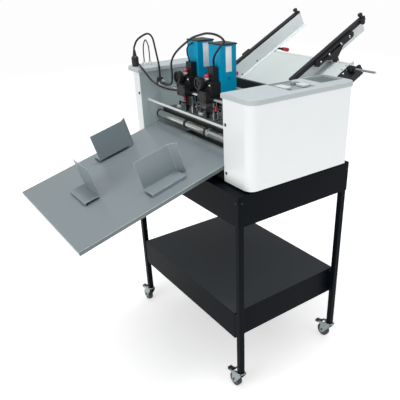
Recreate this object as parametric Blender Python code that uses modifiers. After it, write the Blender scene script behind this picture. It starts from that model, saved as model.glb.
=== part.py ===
"""Numbering and perforating machine on a wheeled stand, as separate pieces.

Metres, +Z up. +X is the operator's right seen from the delivery side, -Y is the
delivery side and +Y the feed side. Sizes are laid out from the stand's centre on
the floor, and one shift at the end brings the origin under the middle of the whole.
"""
import math

import bmesh
import bpy
from mathutils import Matrix, Vector

# Clearances and small shared values
seat_gap = 0.0003
running_gap = 0.0006
cut_overrun = 0.002
weld = 0.000001
rod_sides = 12
fine_sides = 16
bore_sides = 12
pin_sides = 8

# From the stand's centre to the middle of the whole machine's footprint
origin_x = -0.01775
origin_y = -0.0728

# Stand
stand_width = 0.660
stand_depth = 0.4514
stand_height = 0.7327
stand_sheet = 0.002
leg_side = 0.019
leg_wall = 0.0015
leg_floor_gap = 0.075
top_apron = 0.0985
shelf_height = 0.3135
shelf_apron = 0.1016
shelf_side_inset = 0.029
shelf_front_inset = 0.0014
shelf_lug = 0.016
insert_depth = 0.030
stem_radius = 0.0050

# Small button-head screws of the stand and the housings
screw_radius = 0.0035
screw_head = 0.0022
stand_screw_drop = 0.0207
leg_screw_rise = 0.024
housing_screw_inset = 0.0105
housing_screw_rises = (0.028, 0.173)

# Casters
wheel_radius = 0.025
wheel_width = 0.019
caster_trail = 0.028
cheek_gap = 0.0012
cheek_sheet = 0.002
crown_height = 0.0050
crown_radius = 0.0165
stem_length = 0.024
axle_radius = 0.0030
hub_radius = 0.0095
hub_step = 0.0006
brake_arm = 0.013
brake_height = 0.0565
brake_pin_radius = 0.0020
brake_reach = 0.026
brake_sheet = 0.0045

# Machine shell
foot_height = 0.0053
foot_radius = 0.014
foot_inset = 0.003
pan_sheet = 0.0025
pan_inset = 0.004
housing_height = 0.2475
housing_depth = 0.393
housing_shift = 0.003
housing_wall = 0.002
housing_corner = 0.028
housing_rear_corner = 0.006
inner_width = 0.498
machine_offset = -0.030
right_housing_width = 0.1207
left_housing_width = 0.066
frame_sheet = 0.003
peg_radius = 0.003
peg_length = 0.009

# Top covers and the control panel
cover_thickness = 0.0145
right_cover_front = 0.006
left_cover_front = 0.013
cover_rear = 0.006
right_cover_outer = 0.0123
left_cover_outer = 0.012
right_cover_lip = 0.002
left_cover_lip = 0.017
cover_corner = 0.030
cover_rim = 0.004
panel_low = (0.0035, -0.040)
panel_high = (0.108, 0.058)
panel_depth = 0.0045
rest_low = (0.006, 0.100)
rest_high = (0.088, 0.196)
rest_depth = 0.0070
key_rise = 0.0052
key_travel = 0.0015
start_key_spot = (0.058, -0.022)
start_key_size = (0.046, 0.026)
stop_key_spot = (0.071, 0.040)
stop_key_size = (0.036, 0.022)
plunger_radius = 0.0030
knob_spot = (0.039, 0.032)
knob_radius = 0.0085
knob_rise = 0.009
knob_flutes = 12

# Shafts, rods and rollers between the side frames
rail_radius = 0.0065
rail_y = -0.124
rail_rise = 0.206
tie_radius = 0.0040
tie_y = -0.165
tie_rise = 0.149
clip_x = -0.260
clip_half = 0.010
journal_radius = 0.0040
journal_tail = 0.010
roller_end_gap = 0.0010
roller_radius = 0.012
roller_y = -0.127
roller_rise = 0.094
ring_width = 0.006
ring_height = 0.0022
ring_places = (-0.272, -0.090, 0.033)
collar_width = 0.009
anvil_radius = 0.014
anvil_y = 0.000
bed_strip = 0.014
blade_radius = 0.0245
blade_depth = 0.0016
blade_sheet = 0.0012
blade_teeth = 32
perforator_hub = 0.016
perforator_hub_width = 0.016
perforator_places = (-0.215, 0.155)
feed_roller_radius = 0.016
feed_roller_along = 0.081
feed_sleeve = 0.060
feed_sleeve_pitch = 0.125
pulley_radius = 0.011
pulley_width = 0.010
pulley_flange = 0.0015
belt_offset = 0.016
belt_sheet = 0.0018
belt_width = 0.008
motor_radius = 0.030
motor_length = 0.058
motor_y = 0.020
motor_rise = 0.048
motor_shaft = 0.0040
motor_gap = 0.003

# Bed and sloping feed table
bed_rise = 0.112
bed_sheet = 0.0015
bed_front_y = -0.1085
bed_flange = 0.044
bed_bend_y = 0.034
bed_slot = 0.0030
bed_climb = 0.060
bed_side_gap = 0.0005
feed_slope = math.radians(27.5)
bar_y = 0.1275
bar_half_depth = 0.0075
bar_rise = 0.176
bar_height = 0.033
table_sheet = 0.0015
table_start = 0.102
table_end = 0.3475
table_flange = 0.014
table_left_gap = 0.017
table_right_gap = 0.019
table_lug_length = 0.050
cross_along = 0.3585
cross_above = -0.0080
cross_radius = 0.005
ear_sheet = 0.004
ear_margin = 0.0095

# Side guides
guide_start = 0.162
guide_end = 0.537
guide_height = 0.050
guide_foot = 0.015
guide_sheet = 0.0015
left_guide_x = -0.197
right_guide_x = 0.110
rail_width = 0.016
rail_low = 0.044
rail_height = 0.014
bracket_before = 0.0915
bracket_after = 0.1035
arm_shares = (0.16, 0.80)
bracket_sheet = 0.008
bracket_height = 0.022
arm_half = 0.009
arm_low = -0.0165
arm_taper = 0.007
guide_bolt_radius = 0.004
guide_bolt_height = 0.003
guide_bolt_shares = (0.12, 0.34, 0.66, 0.88)
clip_block_half = 0.016
clip_block_reach = 0.010
guide_knob_radius = 0.0085
guide_knob_height = 0.014

# Side block with its turning handle, and the lift lever
block_start = 0.263
block_end = 0.345
block_width = 0.054
block_low = -0.022
handle_along = 0.316
handle_above = 0.012
handle_radius = 0.004
handle_start = 0.022
handle_length = 0.1135
left_boss = 0.009
right_boss = 0.007
boss_half = 0.0065
handle_knob_radius = 0.0100
lever_offset = 0.0215
lever_above = -0.0072
lever_length = 0.078
lever_half = 0.0045
lever_grip = 0.024
lever_grip_radius = 0.0068
lever_hub = 0.009
lever_pin_radius = 0.0028
lever_pin_head = 0.0045

# Numbering heads
near_head_x = 0.040
far_head_x = -0.083
carriage_half = 0.0245
carriage_front = 0.022
carriage_rear = 0.031
carriage_low = 0.014
carriage_high = 0.022
head_box_left = 0.021
head_box_right = 0.030
head_box_front = 0.006
head_box_top = 0.048
connector_left = 0.009
connector_right = 0.022
connector_front = 0.009
connector_top = 0.092
tower_half = 0.031
tower_depth = 0.060
tower_rise = 0.177
tower_height = 0.186
tower_lip = 0.0015
tower_wall = 0.0015
tower_cap = 0.003
lamp_radius = 0.006
lamp_height = 0.016
clamp_radius = 0.020
clamp_length = 0.018
clamp_flutes = 15
clamp_stub = 0.004
clamp_offset = -0.012
clamp_rise = 0.044
number_half = 0.021
number_front = 0.118
number_rear = 0.081
number_rise = 0.129
number_height = 0.041
number_neck_gap = 0.0015
number_wheel_radius = 0.012
number_wheel_count = 6
number_wheel_width = 0.0042
number_wheel_gap = 0.0006
cup_radius = 0.0065
cup_height = 0.015
cup_reach = 0.0115
cup_arm = 0.004
near_cup_x = -0.027
far_cup_x = -0.036
press_tab_radius = 0.0042
press_tab_height = 0.013
near_tab_x = 0.044
far_tab_x = -0.015
link_radius = 0.0025
link_out = 0.005
link_back = 0.020
link_drop = 0.009
link_land = 0.006
link_bow_shares = ((2.20, 0.39), (2.00, 0.68), (-0.60, 0.91))

# Delivery tray and its three loose stops
tray_slope = math.radians(15.54)
tray_back_y = -0.131
tray_rise = 0.0664
tray_length = 0.5447
tray_width = 0.494
tray_sheet = 0.0015
tray_flange = 0.012
tray_hook_along = 0.022
tray_slot_along = 0.012
tray_slot_places = (-0.262, -0.027)
tray_slot_size = (0.014, 0.004)
stop_length = 0.118
stop_height = 0.099
stop_foot = 0.051
stop_foot_height = 0.010
stop_sheet = 0.0015
stop_flare = 0.026
stop_flare_turn = math.radians(40)
stop_clearance = 0.0005
left_stop_x = -0.187
right_stop_x = 0.121
side_stop_along = 0.170
end_stop_x = -0.0945
end_stop_along = 0.386

# Leads
lead_radius = 0.0032
jumper_radius = 0.0020
plug_x = -0.312
plug_y = -0.187
plug_radius = 0.0125
plug_height = 0.040
plug_boot = 0.014
socket_radius = 0.0060
socket_rise = 0.012
socket_x = -0.310
socket_places = (-0.153, -0.131)
jumper_rise = 0.072

# Derived places
leg_x = stand_width / 2 - leg_side / 2
leg_y = stand_depth / 2 - leg_side / 2
machine_floor = stand_height + foot_height
rail_z = machine_floor + rail_rise
tie_z = machine_floor + tie_rise
roller_z = machine_floor + roller_rise
motor_z = machine_floor + motor_rise
bar_low = machine_floor + bar_rise
bar_high = bar_low + bar_height
tower_low = machine_floor + tower_rise
tower_high = tower_low + tower_height
number_low = machine_floor + number_rise
number_deck = number_low + number_height
tray_back_z = machine_floor + tray_rise
ear_reach = cross_along + ear_margin
bracket_start = cross_along - bracket_before
bracket_end = cross_along + bracket_after
lever_along = cross_along + lever_offset
housing_top = machine_floor + housing_height
right_inner = machine_offset + inner_width / 2
left_inner = machine_offset - inner_width / 2
right_outer = right_inner + right_housing_width
left_outer = left_inner - left_housing_width
housing_front = housing_shift - housing_depth / 2
housing_rear = housing_shift + housing_depth / 2
cover_top = housing_top + cover_thickness
bed_top = machine_floor + bed_rise
anvil_z = bed_top - anvil_radius
perforator_z = bed_top + blade_radius + seat_gap
belt_x = right_inner + frame_sheet + belt_offset
table_left = left_inner + table_left_gap
table_right = right_inner - table_right_gap
tray_left = left_inner + (inner_width - tray_width) / 2
feed_along = Vector((0, math.cos(feed_slope), math.sin(feed_slope)))
feed_up = Vector((0, -math.sin(feed_slope), math.cos(feed_slope)))
feed_start = Vector((0, bed_bend_y, bed_top))
tray_along = Vector((0, -math.cos(tray_slope), -math.sin(tray_slope)))
tray_up = Vector((0, -math.sin(tray_slope), math.cos(tray_slope)))
tray_start = Vector((0, tray_back_y, tray_back_z))
feed_roller = feed_start + feed_along * feed_roller_along - feed_up * feed_roller_radius

# Routes of the leads, from one end to the other, each with a short straight end
lead_end = lead_radius * 2
plug_top = cover_top + plug_height + plug_boot + seat_gap * 2
clip_top = rail_z + clip_half * 1.8 + seat_gap
clip_side = clip_x + clip_half + seat_gap
far_side = far_head_x - carriage_half - seat_gap
plug_side = plug_x + plug_radius + seat_gap
connector_face = rail_z + connector_top + seat_gap
plug_route = ((plug_x, plug_y, plug_top), (plug_x, plug_y, plug_top + lead_end),
              (-0.3105, -0.175, 1.084), (-0.306, -0.156, 1.098),
              (-0.298, -0.136, 1.105), (-0.289, -0.125, 1.092), (-0.279, -0.123, 1.060),
              (-0.268, -0.123, 1.027), (-0.2585, -0.124, 1.004), (-0.2565, -0.124, 0.985),
              (clip_x + 0.003, rail_y, clip_top + lead_end),
              (clip_x + 0.003, rail_y, clip_top))
far_lead_route = ((plug_side, plug_y, 1.012), (plug_side + lead_end, plug_y, 1.012),
                  (-0.280, -0.189, 1.0102), (-0.267, -0.191, 1.0065),
                  (-0.2565, -0.189, 0.999), (-0.246, -0.183, 0.983),
                  (-0.228, -0.172, 0.961), (-0.200, -0.160, 0.9465),
                  (-0.165, -0.150, 0.9405), (-0.135, -0.141, 0.940),
                  (far_side - lead_end, -0.138, 0.942), (far_side, -0.138, 0.942))
near_lead_route = ((clip_side, -0.128, 0.9555), (clip_side + lead_end, -0.128, 0.9555),
                   (-0.230, -0.138, 0.957), (-0.214, -0.150, 0.958),
                   (-0.186, -0.158, 0.957), (-0.148, -0.159, 0.957),
                   (-0.117, -0.159, 0.969), (-0.109, -0.159, 1.000),
                   (-0.110, -0.159, 1.032), (-0.091, -0.159, 1.058),
                   (-0.058, -0.159, 1.081), (-0.016, -0.159, 1.103),
                   (0.022, -0.159, 1.121), (0.062, -0.159, 1.132),
                   (0.102, -0.159, 1.140), (0.143, -0.158, 1.140),
                   (0.168, -0.155, 1.133), (0.172, -0.150, 1.122),
                   (0.150, -0.144, 1.111), (0.120, -0.134, 1.096),
                   (0.088, -0.123, 1.078), (0.062, -0.111, 1.060),
                   (0.051, -0.104, connector_face + lead_end),
                   (0.051, -0.104, connector_face))


def make_collection(name):
    collection = bpy.data.collections.new(name)
    bpy.context.scene.collection.children.link(collection)
    return collection


for old in list(bpy.data.objects):
    bpy.data.objects.remove(old, do_unlink=True)
machine = make_collection("numbering_and_perforating_machine")
cutters = make_collection("cutters")


# Finishes

def finish(name, red, green, blue, roughness, metallic=0.0):
    material = bpy.data.materials.new(name)
    material.use_nodes = True
    shader = material.node_tree.nodes["Principled BSDF"]
    shader.inputs["Base Color"].default_value = (red, green, blue, 1)
    shader.inputs["Roughness"].default_value = roughness
    shader.inputs["Metallic"].default_value = metallic
    return material


looks = {
    "satin_black": (0.018, 0.020, 0.024, 0.45),
    "shell_white": (0.83, 0.84, 0.85, 0.38),
    "cover_grey": (0.58, 0.61, 0.62, 0.50),
    "frame_grey": (0.40, 0.46, 0.48, 0.50),
    "tray_grey": (0.27, 0.31, 0.34, 0.50),
    "table_grey": (0.60, 0.65, 0.64, 0.45),
    "tower_blue": (0.00, 0.22, 0.42, 0.35),
    "part_black": (0.02, 0.02, 0.022, 0.40),
    "steel": (0.62, 0.62, 0.62, 0.28, 1.0),
    "zinc": (0.66, 0.67, 0.68, 0.30, 1.0),
    "wheel_grey": (0.09, 0.09, 0.10, 0.60),
    "rubber": (0.015, 0.015, 0.015, 0.70),
    "key_white": (0.75, 0.77, 0.78, 0.40),
}


# Forms: each function gives a bmesh, and place() makes it a piece

def new_object(name, form, collection):
    mesh = bpy.data.meshes.new(name)
    bmesh.ops.recalc_face_normals(form, faces=form.faces)
    form.to_mesh(mesh)
    form.free()
    item = bpy.data.objects.new(name, mesh)
    collection.objects.link(item)
    return item


def place(name, form, look, spot=None):
    """A named piece with its own material and its origin at the given spot."""
    item = new_object(name, form, machine)
    item.data.materials.append(finish(name + "_finish", *looks[look]))
    if spot is not None:
        item.data.transform(Matrix.Translation(-Vector(spot)))
        item.location = spot
    return item


def box_form(low, high):
    low = Vector(low)
    high = Vector(high)
    form = bmesh.new()
    bmesh.ops.create_cube(form, size=1)
    bmesh.ops.scale(form, vec=high - low, verts=form.verts)
    bmesh.ops.translate(form, vec=(high + low) / 2, verts=form.verts)
    return form


def round_edges(form, axis, radius, segments=4, keep=None):
    """Round the edges that run along one axis, or those of them that keep() picks."""
    chosen = []
    for edge in form.edges:
        run = (edge.verts[1].co - edge.verts[0].co).normalized()
        middle = (edge.verts[0].co + edge.verts[1].co) / 2
        if abs(run[axis]) > 0.99 and (keep is None or keep(middle)):
            chosen.append(edge)
    bmesh.ops.bevel(form, geom=chosen, offset=radius, segments=segments, profile=0.5,
                    affect="EDGES")
    return form


def open_faces(form, *directions):
    """Delete the faces that look in the given directions."""
    form.normal_update()
    chosen = [face for face in form.faces
              if any(face.normal.dot(Vector(way)) > 0.99 for way in directions)]
    bmesh.ops.delete(form, geom=chosen, context="FACES")
    return form


def sheet(item, thickness, side=-1):
    """Give an open surface its thickness, inwards unless told otherwise."""
    skin = item.modifiers.new("sheet", "SOLIDIFY")
    skin.thickness = thickness
    skin.offset = side
    skin.use_even_offset = True
    return item


def rod_form(start, end, radius, sides=rod_sides, end_radius=None):
    start = Vector(start)
    end = Vector(end)
    form = bmesh.new()
    bmesh.ops.create_cone(form, cap_ends=True, segments=sides, radius1=radius,
                          radius2=radius if end_radius is None else end_radius,
                          depth=(end - start).length)
    turn = Vector((0, 0, 1)).rotation_difference(end - start).to_matrix().to_4x4()
    bmesh.ops.transform(form, matrix=Matrix.Translation((start + end) / 2) @ turn,
                        verts=form.verts)
    return form


def cross_rod(low, high, centre, radius, sides=rod_sides):
    """A rod along X, from low to high, about a centre given as (y, z)."""
    return rod_form((low, centre[0], centre[1]), (high, centre[0], centre[1]), radius,
                    sides)


def plane_matrix(axis, centre):
    """Local XY of an outline into the plane square to a world axis."""
    columns = {0: ((0, 1, 0), (0, 0, 1), (1, 0, 0)),
               1: ((1, 0, 0), (0, 0, 1), (0, -1, 0)),
               2: ((1, 0, 0), (0, 1, 0), (0, 0, 1))}[axis]
    turn = Matrix(columns).transposed().to_4x4()
    return Matrix.Translation(Vector(centre)) @ turn


def curve_form(curve, matrix):
    """A curve's evaluated mesh, with its caps welded on."""
    item = bpy.data.objects.new(curve.name, curve)
    machine.objects.link(item)
    bpy.context.view_layer.update()
    graph = bpy.context.evaluated_depsgraph_get()
    mesh = bpy.data.meshes.new_from_object(item.evaluated_get(graph))
    form = bmesh.new()
    form.from_mesh(mesh)
    bmesh.ops.remove_doubles(form, verts=form.verts, dist=weld)
    bmesh.ops.transform(form, matrix=matrix, verts=form.verts)
    bpy.data.objects.remove(item)
    bpy.data.meshes.remove(mesh)
    return form


def outline_form(loops, thickness, matrix):
    """A flat outline, with any inner loops as holes, as a plate."""
    curve = bpy.data.curves.new("outline", "CURVE")
    curve.dimensions = "2D"
    curve.fill_mode = "BOTH"
    curve.extrude = thickness / 2
    for loop in loops:
        spline = curve.splines.new("POLY")
        spline.points.add(len(loop) - 1)
        for point, spot in zip(spline.points, loop):
            point.co = (spot[0], spot[1], 0, 1)
        spline.use_cyclic_u = True
    return curve_form(curve, matrix)


def bent_form(profile, axis, low, high):
    """An open profile drawn along one axis into an open surface."""
    form = bmesh.new()
    others = [index for index in range(3) if index != axis]
    row = []
    for spot in profile:
        corner = [0, 0, 0]
        corner[axis] = low
        corner[others[0]] = spot[0]
        corner[others[1]] = spot[1]
        row.append(form.verts.new(corner))
    edges = [form.edges.new(pair) for pair in zip(row, row[1:])]
    drawn = bmesh.ops.extrude_edge_only(form, edges=edges)
    fresh = [part for part in drawn["geom"] if isinstance(part, bmesh.types.BMVert)]
    step = Vector((0, 0, 0))
    step[axis] = high - low
    bmesh.ops.translate(form, vec=step, verts=fresh)
    return form


def moved(form, matrix):
    bmesh.ops.transform(form, matrix=matrix, verts=form.verts)
    return form


def combine(item, form, operation):
    """Join or cut a piece with a hidden solid."""
    tool = new_object(item.name + "_" + operation.lower(), form, cutters)
    tool.hide_render = True
    tool.display_type = "WIRE"
    step = item.modifiers.new(operation.lower(), "BOOLEAN")
    step.operation = operation
    step.solver = "EXACT"
    step.object = tool
    return item


def cut(item, *forms):
    for form in forms:
        combine(item, form, "DIFFERENCE")
    return item


def fuse(item, *forms):
    for form in forms:
        combine(item, form, "UNION")
    return item


def smooth(item):
    item.data.shade_smooth()
    item.data.set_sharp_from_angle(angle=math.radians(35))
    return item


def turned(name, profile, look, spot, rotation=(0, 0, 0), closed=True, steps=fine_sides):
    """A half section, from its top down, turned about its own axis by a Screw."""
    mesh = bpy.data.meshes.new(name)
    corners = [(radius, 0, height) for radius, height in profile]
    edges = [(index, index + 1) for index in range(len(corners) - 1)]
    if closed:
        edges.append((len(corners) - 1, 0))
    mesh.from_pydata(corners, edges, [])
    item = bpy.data.objects.new(name, mesh)
    machine.objects.link(item)
    mesh.materials.append(finish(name + "_finish", *looks[look]))
    screw = item.modifiers.new("turn", "SCREW")
    screw.steps = steps
    screw.render_steps = steps
    screw.use_merge_vertices = True
    screw.merge_threshold = weld
    screw.use_smooth_shade = True
    item.location = spot
    item.rotation_euler = rotation
    return item


def toothed(centre, inner, outer, count, pointed=False):
    """The outline of a wheel with flutes, or with pointed teeth, round it."""
    if pointed:
        tooth_shares = ((0, inner), (0.5, outer))
    else:
        tooth_shares = ((0, inner), (0.15, outer), (0.55, outer), (0.7, inner))
    spots = []
    for step in range(count):
        for share, radius in tooth_shares:
            turn = 2 * math.pi * (step + share) / count
            spots.append((centre[0] + radius * math.cos(turn),
                          centre[1] + radius * math.sin(turn)))
    return spots


def smooth_route(points, spacing):
    """Even points on a smooth curve through the route, between its two straight ends."""
    points = [Vector(point) for point in points]
    steps = 24
    fine = []
    for before, start, end, after in zip(points, points[1:], points[2:], points[3:]):
        for step in range(steps):
            share = step / steps
            fine.append(0.5 * (2 * start + (end - before) * share
                               + (2 * before - 5 * start + 4 * end - after) * share ** 2
                               + (3 * start - before - 3 * end + after) * share ** 3))
    fine.append(points[-2])
    reach = [0.0]
    for first, second in zip(fine, fine[1:]):
        reach.append(reach[-1] + (second - first).length)
    count = round(reach[-1] / spacing)
    spots = [points[0]]
    index = 0
    for step in range(count + 1):
        goal = reach[-1] * step / count
        while index < len(fine) - 2 and reach[index + 1] < goal:
            index += 1
        share = (goal - reach[index]) / (reach[index + 1] - reach[index])
        spots.append(fine[index].lerp(fine[index + 1], min(1, max(0, share))))
    return spots + [points[-1]]


def tube(name, route, radius, spacing_share=6.0):
    """A round lead as a curve with a round bevel; its ends run straight and square."""
    spots = smooth_route(route, radius * spacing_share)
    curve = bpy.data.curves.new(name, "CURVE")
    curve.dimensions = "3D"
    curve.bevel_depth = radius
    curve.bevel_resolution = 2
    curve.use_fill_caps = True
    spline = curve.splines.new("POLY")
    spline.points.add(len(spots) - 1)
    for point, spot in zip(spline.points, spots):
        point.co = (spot[0], spot[1], spot[2], 1)
    curve.materials.append(finish(name + "_finish", *looks["rubber"]))
    item = bpy.data.objects.new(name, curve)
    machine.objects.link(item)
    return item


def tube_form(route, radius):
    """The same lead as a mesh, for one that is part of another piece."""
    item = tube("lead", route, radius)
    curve = item.data
    bpy.data.objects.remove(item)
    return curve_form(curve, Matrix.Identity(4))


# Places on the two sloping planes

def feed_matrix():
    """Local X along the machine, local Y up the slope, local Z off it."""
    turn = Matrix((Vector((1, 0, 0)), feed_along, feed_up)).transposed().to_4x4()
    return Matrix.Translation(feed_start) @ turn


def feed_box(low, high):
    return moved(box_form(low, high), feed_matrix())


def feed_rod(start, end, radius, sides=rod_sides):
    return moved(rod_form(start, end, radius, sides), feed_matrix())


def feed_spot(x, along, above):
    return feed_matrix() @ Vector((x, along, above))


def tray_matrix(x=0, along=0, turn_share=0):
    """Local Y down the tray and local Z off it, or turned a quarter for a stop."""
    across = Vector((-1, 0, 0))
    if turn_share == 0:
        columns = (across, tray_along, tray_up)
    elif turn_share == 1:
        columns = (-across, -tray_along, tray_up)
    else:
        columns = (tray_along, -across, tray_up)
    spot = tray_start + Vector((x, 0, 0)) + tray_along * along
    return Matrix.Translation(spot) @ Matrix(columns).transposed().to_4x4()


# Stand

def corners(reach_x, reach_y):
    """The four corners of a rectangle about the stand's centre, with their sides."""
    return [(side_x * reach_x, side_y * reach_y, side_x, side_y)
            for side_x in (-1, 1) for side_y in (-1, 1)]


def screw_form(spot, way):
    """A button head that stands on a sheet and sinks a little into it."""
    spot = Vector(spot)
    way = Vector(way)
    return rod_form(spot - way * screw_head / 2, spot + way * screw_head, screw_radius,
                    pin_sides, screw_radius * 0.6)


def stand_frame():
    """Four square tubes welded to the folded shelf, with inserts for the casters."""
    shelf_x = stand_width / 2 - shelf_side_inset
    shelf_y = stand_depth / 2 - shelf_front_inset
    form = box_form((-shelf_x, -shelf_y, shelf_height - shelf_apron),
                    (shelf_x, shelf_y, shelf_height))
    open_faces(form, (0, 0, -1))
    frame = sheet(place("stand_frame", form, "satin_black"), stand_sheet)
    half = leg_side / 2
    bore = half - leg_wall
    top = stand_height - stand_sheet - seat_gap
    for x, y, side_x, side_y in corners(leg_x, leg_y):
        leg = box_form((x - half, y - half, leg_floor_gap), (x + half, y + half, top))
        fuse(frame, round_edges(leg, 2, leg_wall, 2))
        lug_y = y - side_y * seat_gap * 2
        inner = side_x * (shelf_x - stand_sheet / 2)
        outer = x - side_x * half * 0.9
        fuse(frame, box_form((min(inner, outer), lug_y - shelf_lug / 2,
                              shelf_height - shelf_apron + shelf_lug / 2),
                             (max(inner, outer), lug_y + shelf_lug / 2,
                              shelf_height - shelf_lug / 2)),
             screw_form((x, side_y * stand_depth / 2, leg_floor_gap + leg_screw_rise),
                        (0, side_y, 0)))
        cut(frame, box_form((x - bore, y - bore, leg_floor_gap + insert_depth),
                            (x + bore, y + bore, top + cut_overrun)),
            rod_form((x, y, leg_floor_gap - cut_overrun),
                     (x, y, leg_floor_gap + insert_depth + cut_overrun),
                     stem_radius + running_gap, bore_sides))
    return frame


def stand_top():
    """A folded top that drops over the legs, with two screws at each corner."""
    reach_x = stand_width / 2 + seat_gap + stand_sheet
    reach_y = stand_depth / 2 + seat_gap + stand_sheet
    form = box_form((-reach_x, -reach_y, stand_height - top_apron),
                    (reach_x, reach_y, stand_height))
    round_edges(form, 2, stand_sheet * 1.5, 2)
    open_faces(form, (0, 0, -1))
    top = sheet(place("stand_top", form, "satin_black"), stand_sheet)
    height = stand_height - stand_screw_drop
    for x, y, side_x, side_y in corners(leg_x, leg_y):
        fuse(top, screw_form((x, side_y * reach_y, height), (0, side_y, 0)),
             screw_form((side_x * reach_x, y, height), (side_x, 0, 0)))
    return top


# Casters: a zinc fork that swivels in the leg, a wheel and a brake lever

def caster_fork(name, x, y):
    crown_top = leg_floor_gap - seat_gap
    crown_low = crown_top - crown_height
    axle_x = x - caster_trail
    pin_x = axle_x - brake_arm
    front = x + crown_radius * 0.8
    back = x - crown_radius * 0.8
    lobe = hub_radius * 0.7
    eye = brake_pin_radius * 2
    side = [(front, crown_low + crown_height / 2), (front, crown_low - crown_height),
            (axle_x + lobe, wheel_radius - lobe), (axle_x, wheel_radius - hub_radius),
            (axle_x - lobe, wheel_radius - lobe), (axle_x - hub_radius, wheel_radius),
            (pin_x - eye, brake_height - eye), (pin_x - eye, brake_height + eye),
            (back, crown_low + crown_height / 2)]
    fork = place(name, rod_form((x, y, crown_low), (x, y, crown_top), crown_radius), "zinc",
                 (x, y, wheel_radius))
    inner = wheel_width / 2 + hub_step + cheek_gap
    for way in (-1, 1):
        centre = (0, y + way * (inner + cheek_sheet / 2), 0)
        fuse(fork, outline_form([side], cheek_sheet, plane_matrix(1, centre)))
    reach = inner + cheek_sheet + brake_pin_radius
    fuse(fork, rod_form((axle_x, y - reach, wheel_radius), (axle_x, y + reach, wheel_radius),
                        axle_radius, pin_sides),
         rod_form((pin_x, y - reach, brake_height), (pin_x, y + reach, brake_height),
                  brake_pin_radius, pin_sides),
         rod_form((x, y, crown_top - crown_height / 2), (x, y, crown_top + stem_length),
                  stem_radius))
    return fork


def caster_wheel(name, x, y):
    """A rubber wheel turned round its bore, with a raised hub on each side."""
    half = wheel_width / 2
    bore = axle_radius + running_gap
    upper = [(bore, half + hub_step), (hub_radius, half + hub_step),
             (hub_radius * 1.15, half * 0.72), (wheel_radius * 0.80, half * 0.72),
             (wheel_radius * 0.88, half), (wheel_radius, half * 0.5)]
    lower = [(radius, -height) for radius, height in reversed(upper)]
    return turned(name, upper + lower, "wheel_grey", (x - caster_trail, y, wheel_radius),
                  (math.pi / 2, 0, 0))


def caster_brake(name, x, y):
    """A lever on a cross pin, with a wide toe to press down."""
    pin_x = x - caster_trail - brake_arm
    half = wheel_width / 2
    low = brake_height - brake_sheet * 0.35
    toe = pin_x - brake_reach
    eye = rod_form((pin_x, y - half, brake_height), (pin_x, y + half, brake_height),
                   brake_pin_radius + brake_sheet * 0.6)
    brake = place(name, eye, "part_black", (pin_x, y, brake_height))
    fuse(brake, box_form((toe, y - half, low), (pin_x, y + half, low + brake_sheet)),
         box_form((toe, y - half * 1.5, low), (toe + brake_reach * 0.45, y + half * 1.5,
                  low + brake_sheet * 1.3)))
    cut(brake, rod_form((pin_x, y - half * 2, brake_height), (pin_x, y + half * 2,
                        brake_height), brake_pin_radius + running_gap / 2))
    return brake


def casters():
    places = (("front_right", 1, -1), ("front_left", -1, -1),
              ("rear_right", 1, 1), ("rear_left", -1, 1))
    for label, side_x, side_y in places:
        caster_fork(label + "_caster_fork", side_x * leg_x, side_y * leg_y)
        caster_wheel(label + "_caster_wheel", side_x * leg_x, side_y * leg_y)
        caster_brake(label + "_caster_brake", side_x * leg_x, side_y * leg_y)


# Machine body

def base_pan():
    """A plate that ties the side frames together, on four rubber feet."""
    low_x = left_outer + pan_inset + housing_corner
    high_x = right_outer - pan_inset - housing_corner
    low_y = housing_front + pan_inset
    high_y = housing_rear - pan_inset
    pan = place("base_pan", box_form((low_x, low_y, machine_floor),
                (high_x, high_y, machine_floor + pan_sheet)), "satin_black")
    reach = foot_radius + foot_inset
    for x in (low_x + reach, high_x - reach):
        for y in (low_y + reach, high_y - reach):
            fuse(pan, rod_form((x, y, stand_height + seat_gap),
                               (x, y, machine_floor + pan_sheet / 2), foot_radius))
    return pan


def side_frames():
    """Inner side plates with front and rear folds and clearance holes for the shafts."""
    low_z = machine_floor + pan_sheet + seat_gap
    high_z = housing_top - seat_gap
    inset = housing_wall + seat_gap + frame_sheet / 2
    front = housing_front + inset
    rear = housing_rear - inset
    peg = tray_matrix(0, tray_hook_along) @ Vector((0, 0, -tray_flange * 0.6))
    holes = [(roller_y, roller_z), (anvil_y, anvil_z), (anvil_y, perforator_z),
             (feed_roller.y, feed_roller.z)]
    for name, inner, way in (("right_side_frame", right_inner, 1),
                             ("left_side_frame", left_inner, -1)):
        fold = inner + way * housing_screw_inset * 2
        middle = inner + way * frame_sheet / 2
        profile = [(fold, front), (middle, front), (middle, rear), (fold, rear)]
        item = place(name, bent_form(profile, 2, low_z, high_z), "frame_grey")
        sheet(item, frame_sheet, 0)
        low = middle - frame_sheet
        high = middle + frame_sheet
        for spot in holes:
            cut(item, cross_rod(low, high, spot, journal_radius + running_gap / 2, bore_sides))
        if way > 0:
            cut(item, cross_rod(low, high, (motor_y, motor_z), motor_shaft * 1.5, bore_sides))
        ends = sorted((middle, inner - way * peg_length))
        fuse(item, cross_rod(ends[0], ends[1], (peg.y, peg.z), peg_radius, pin_sides))


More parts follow.
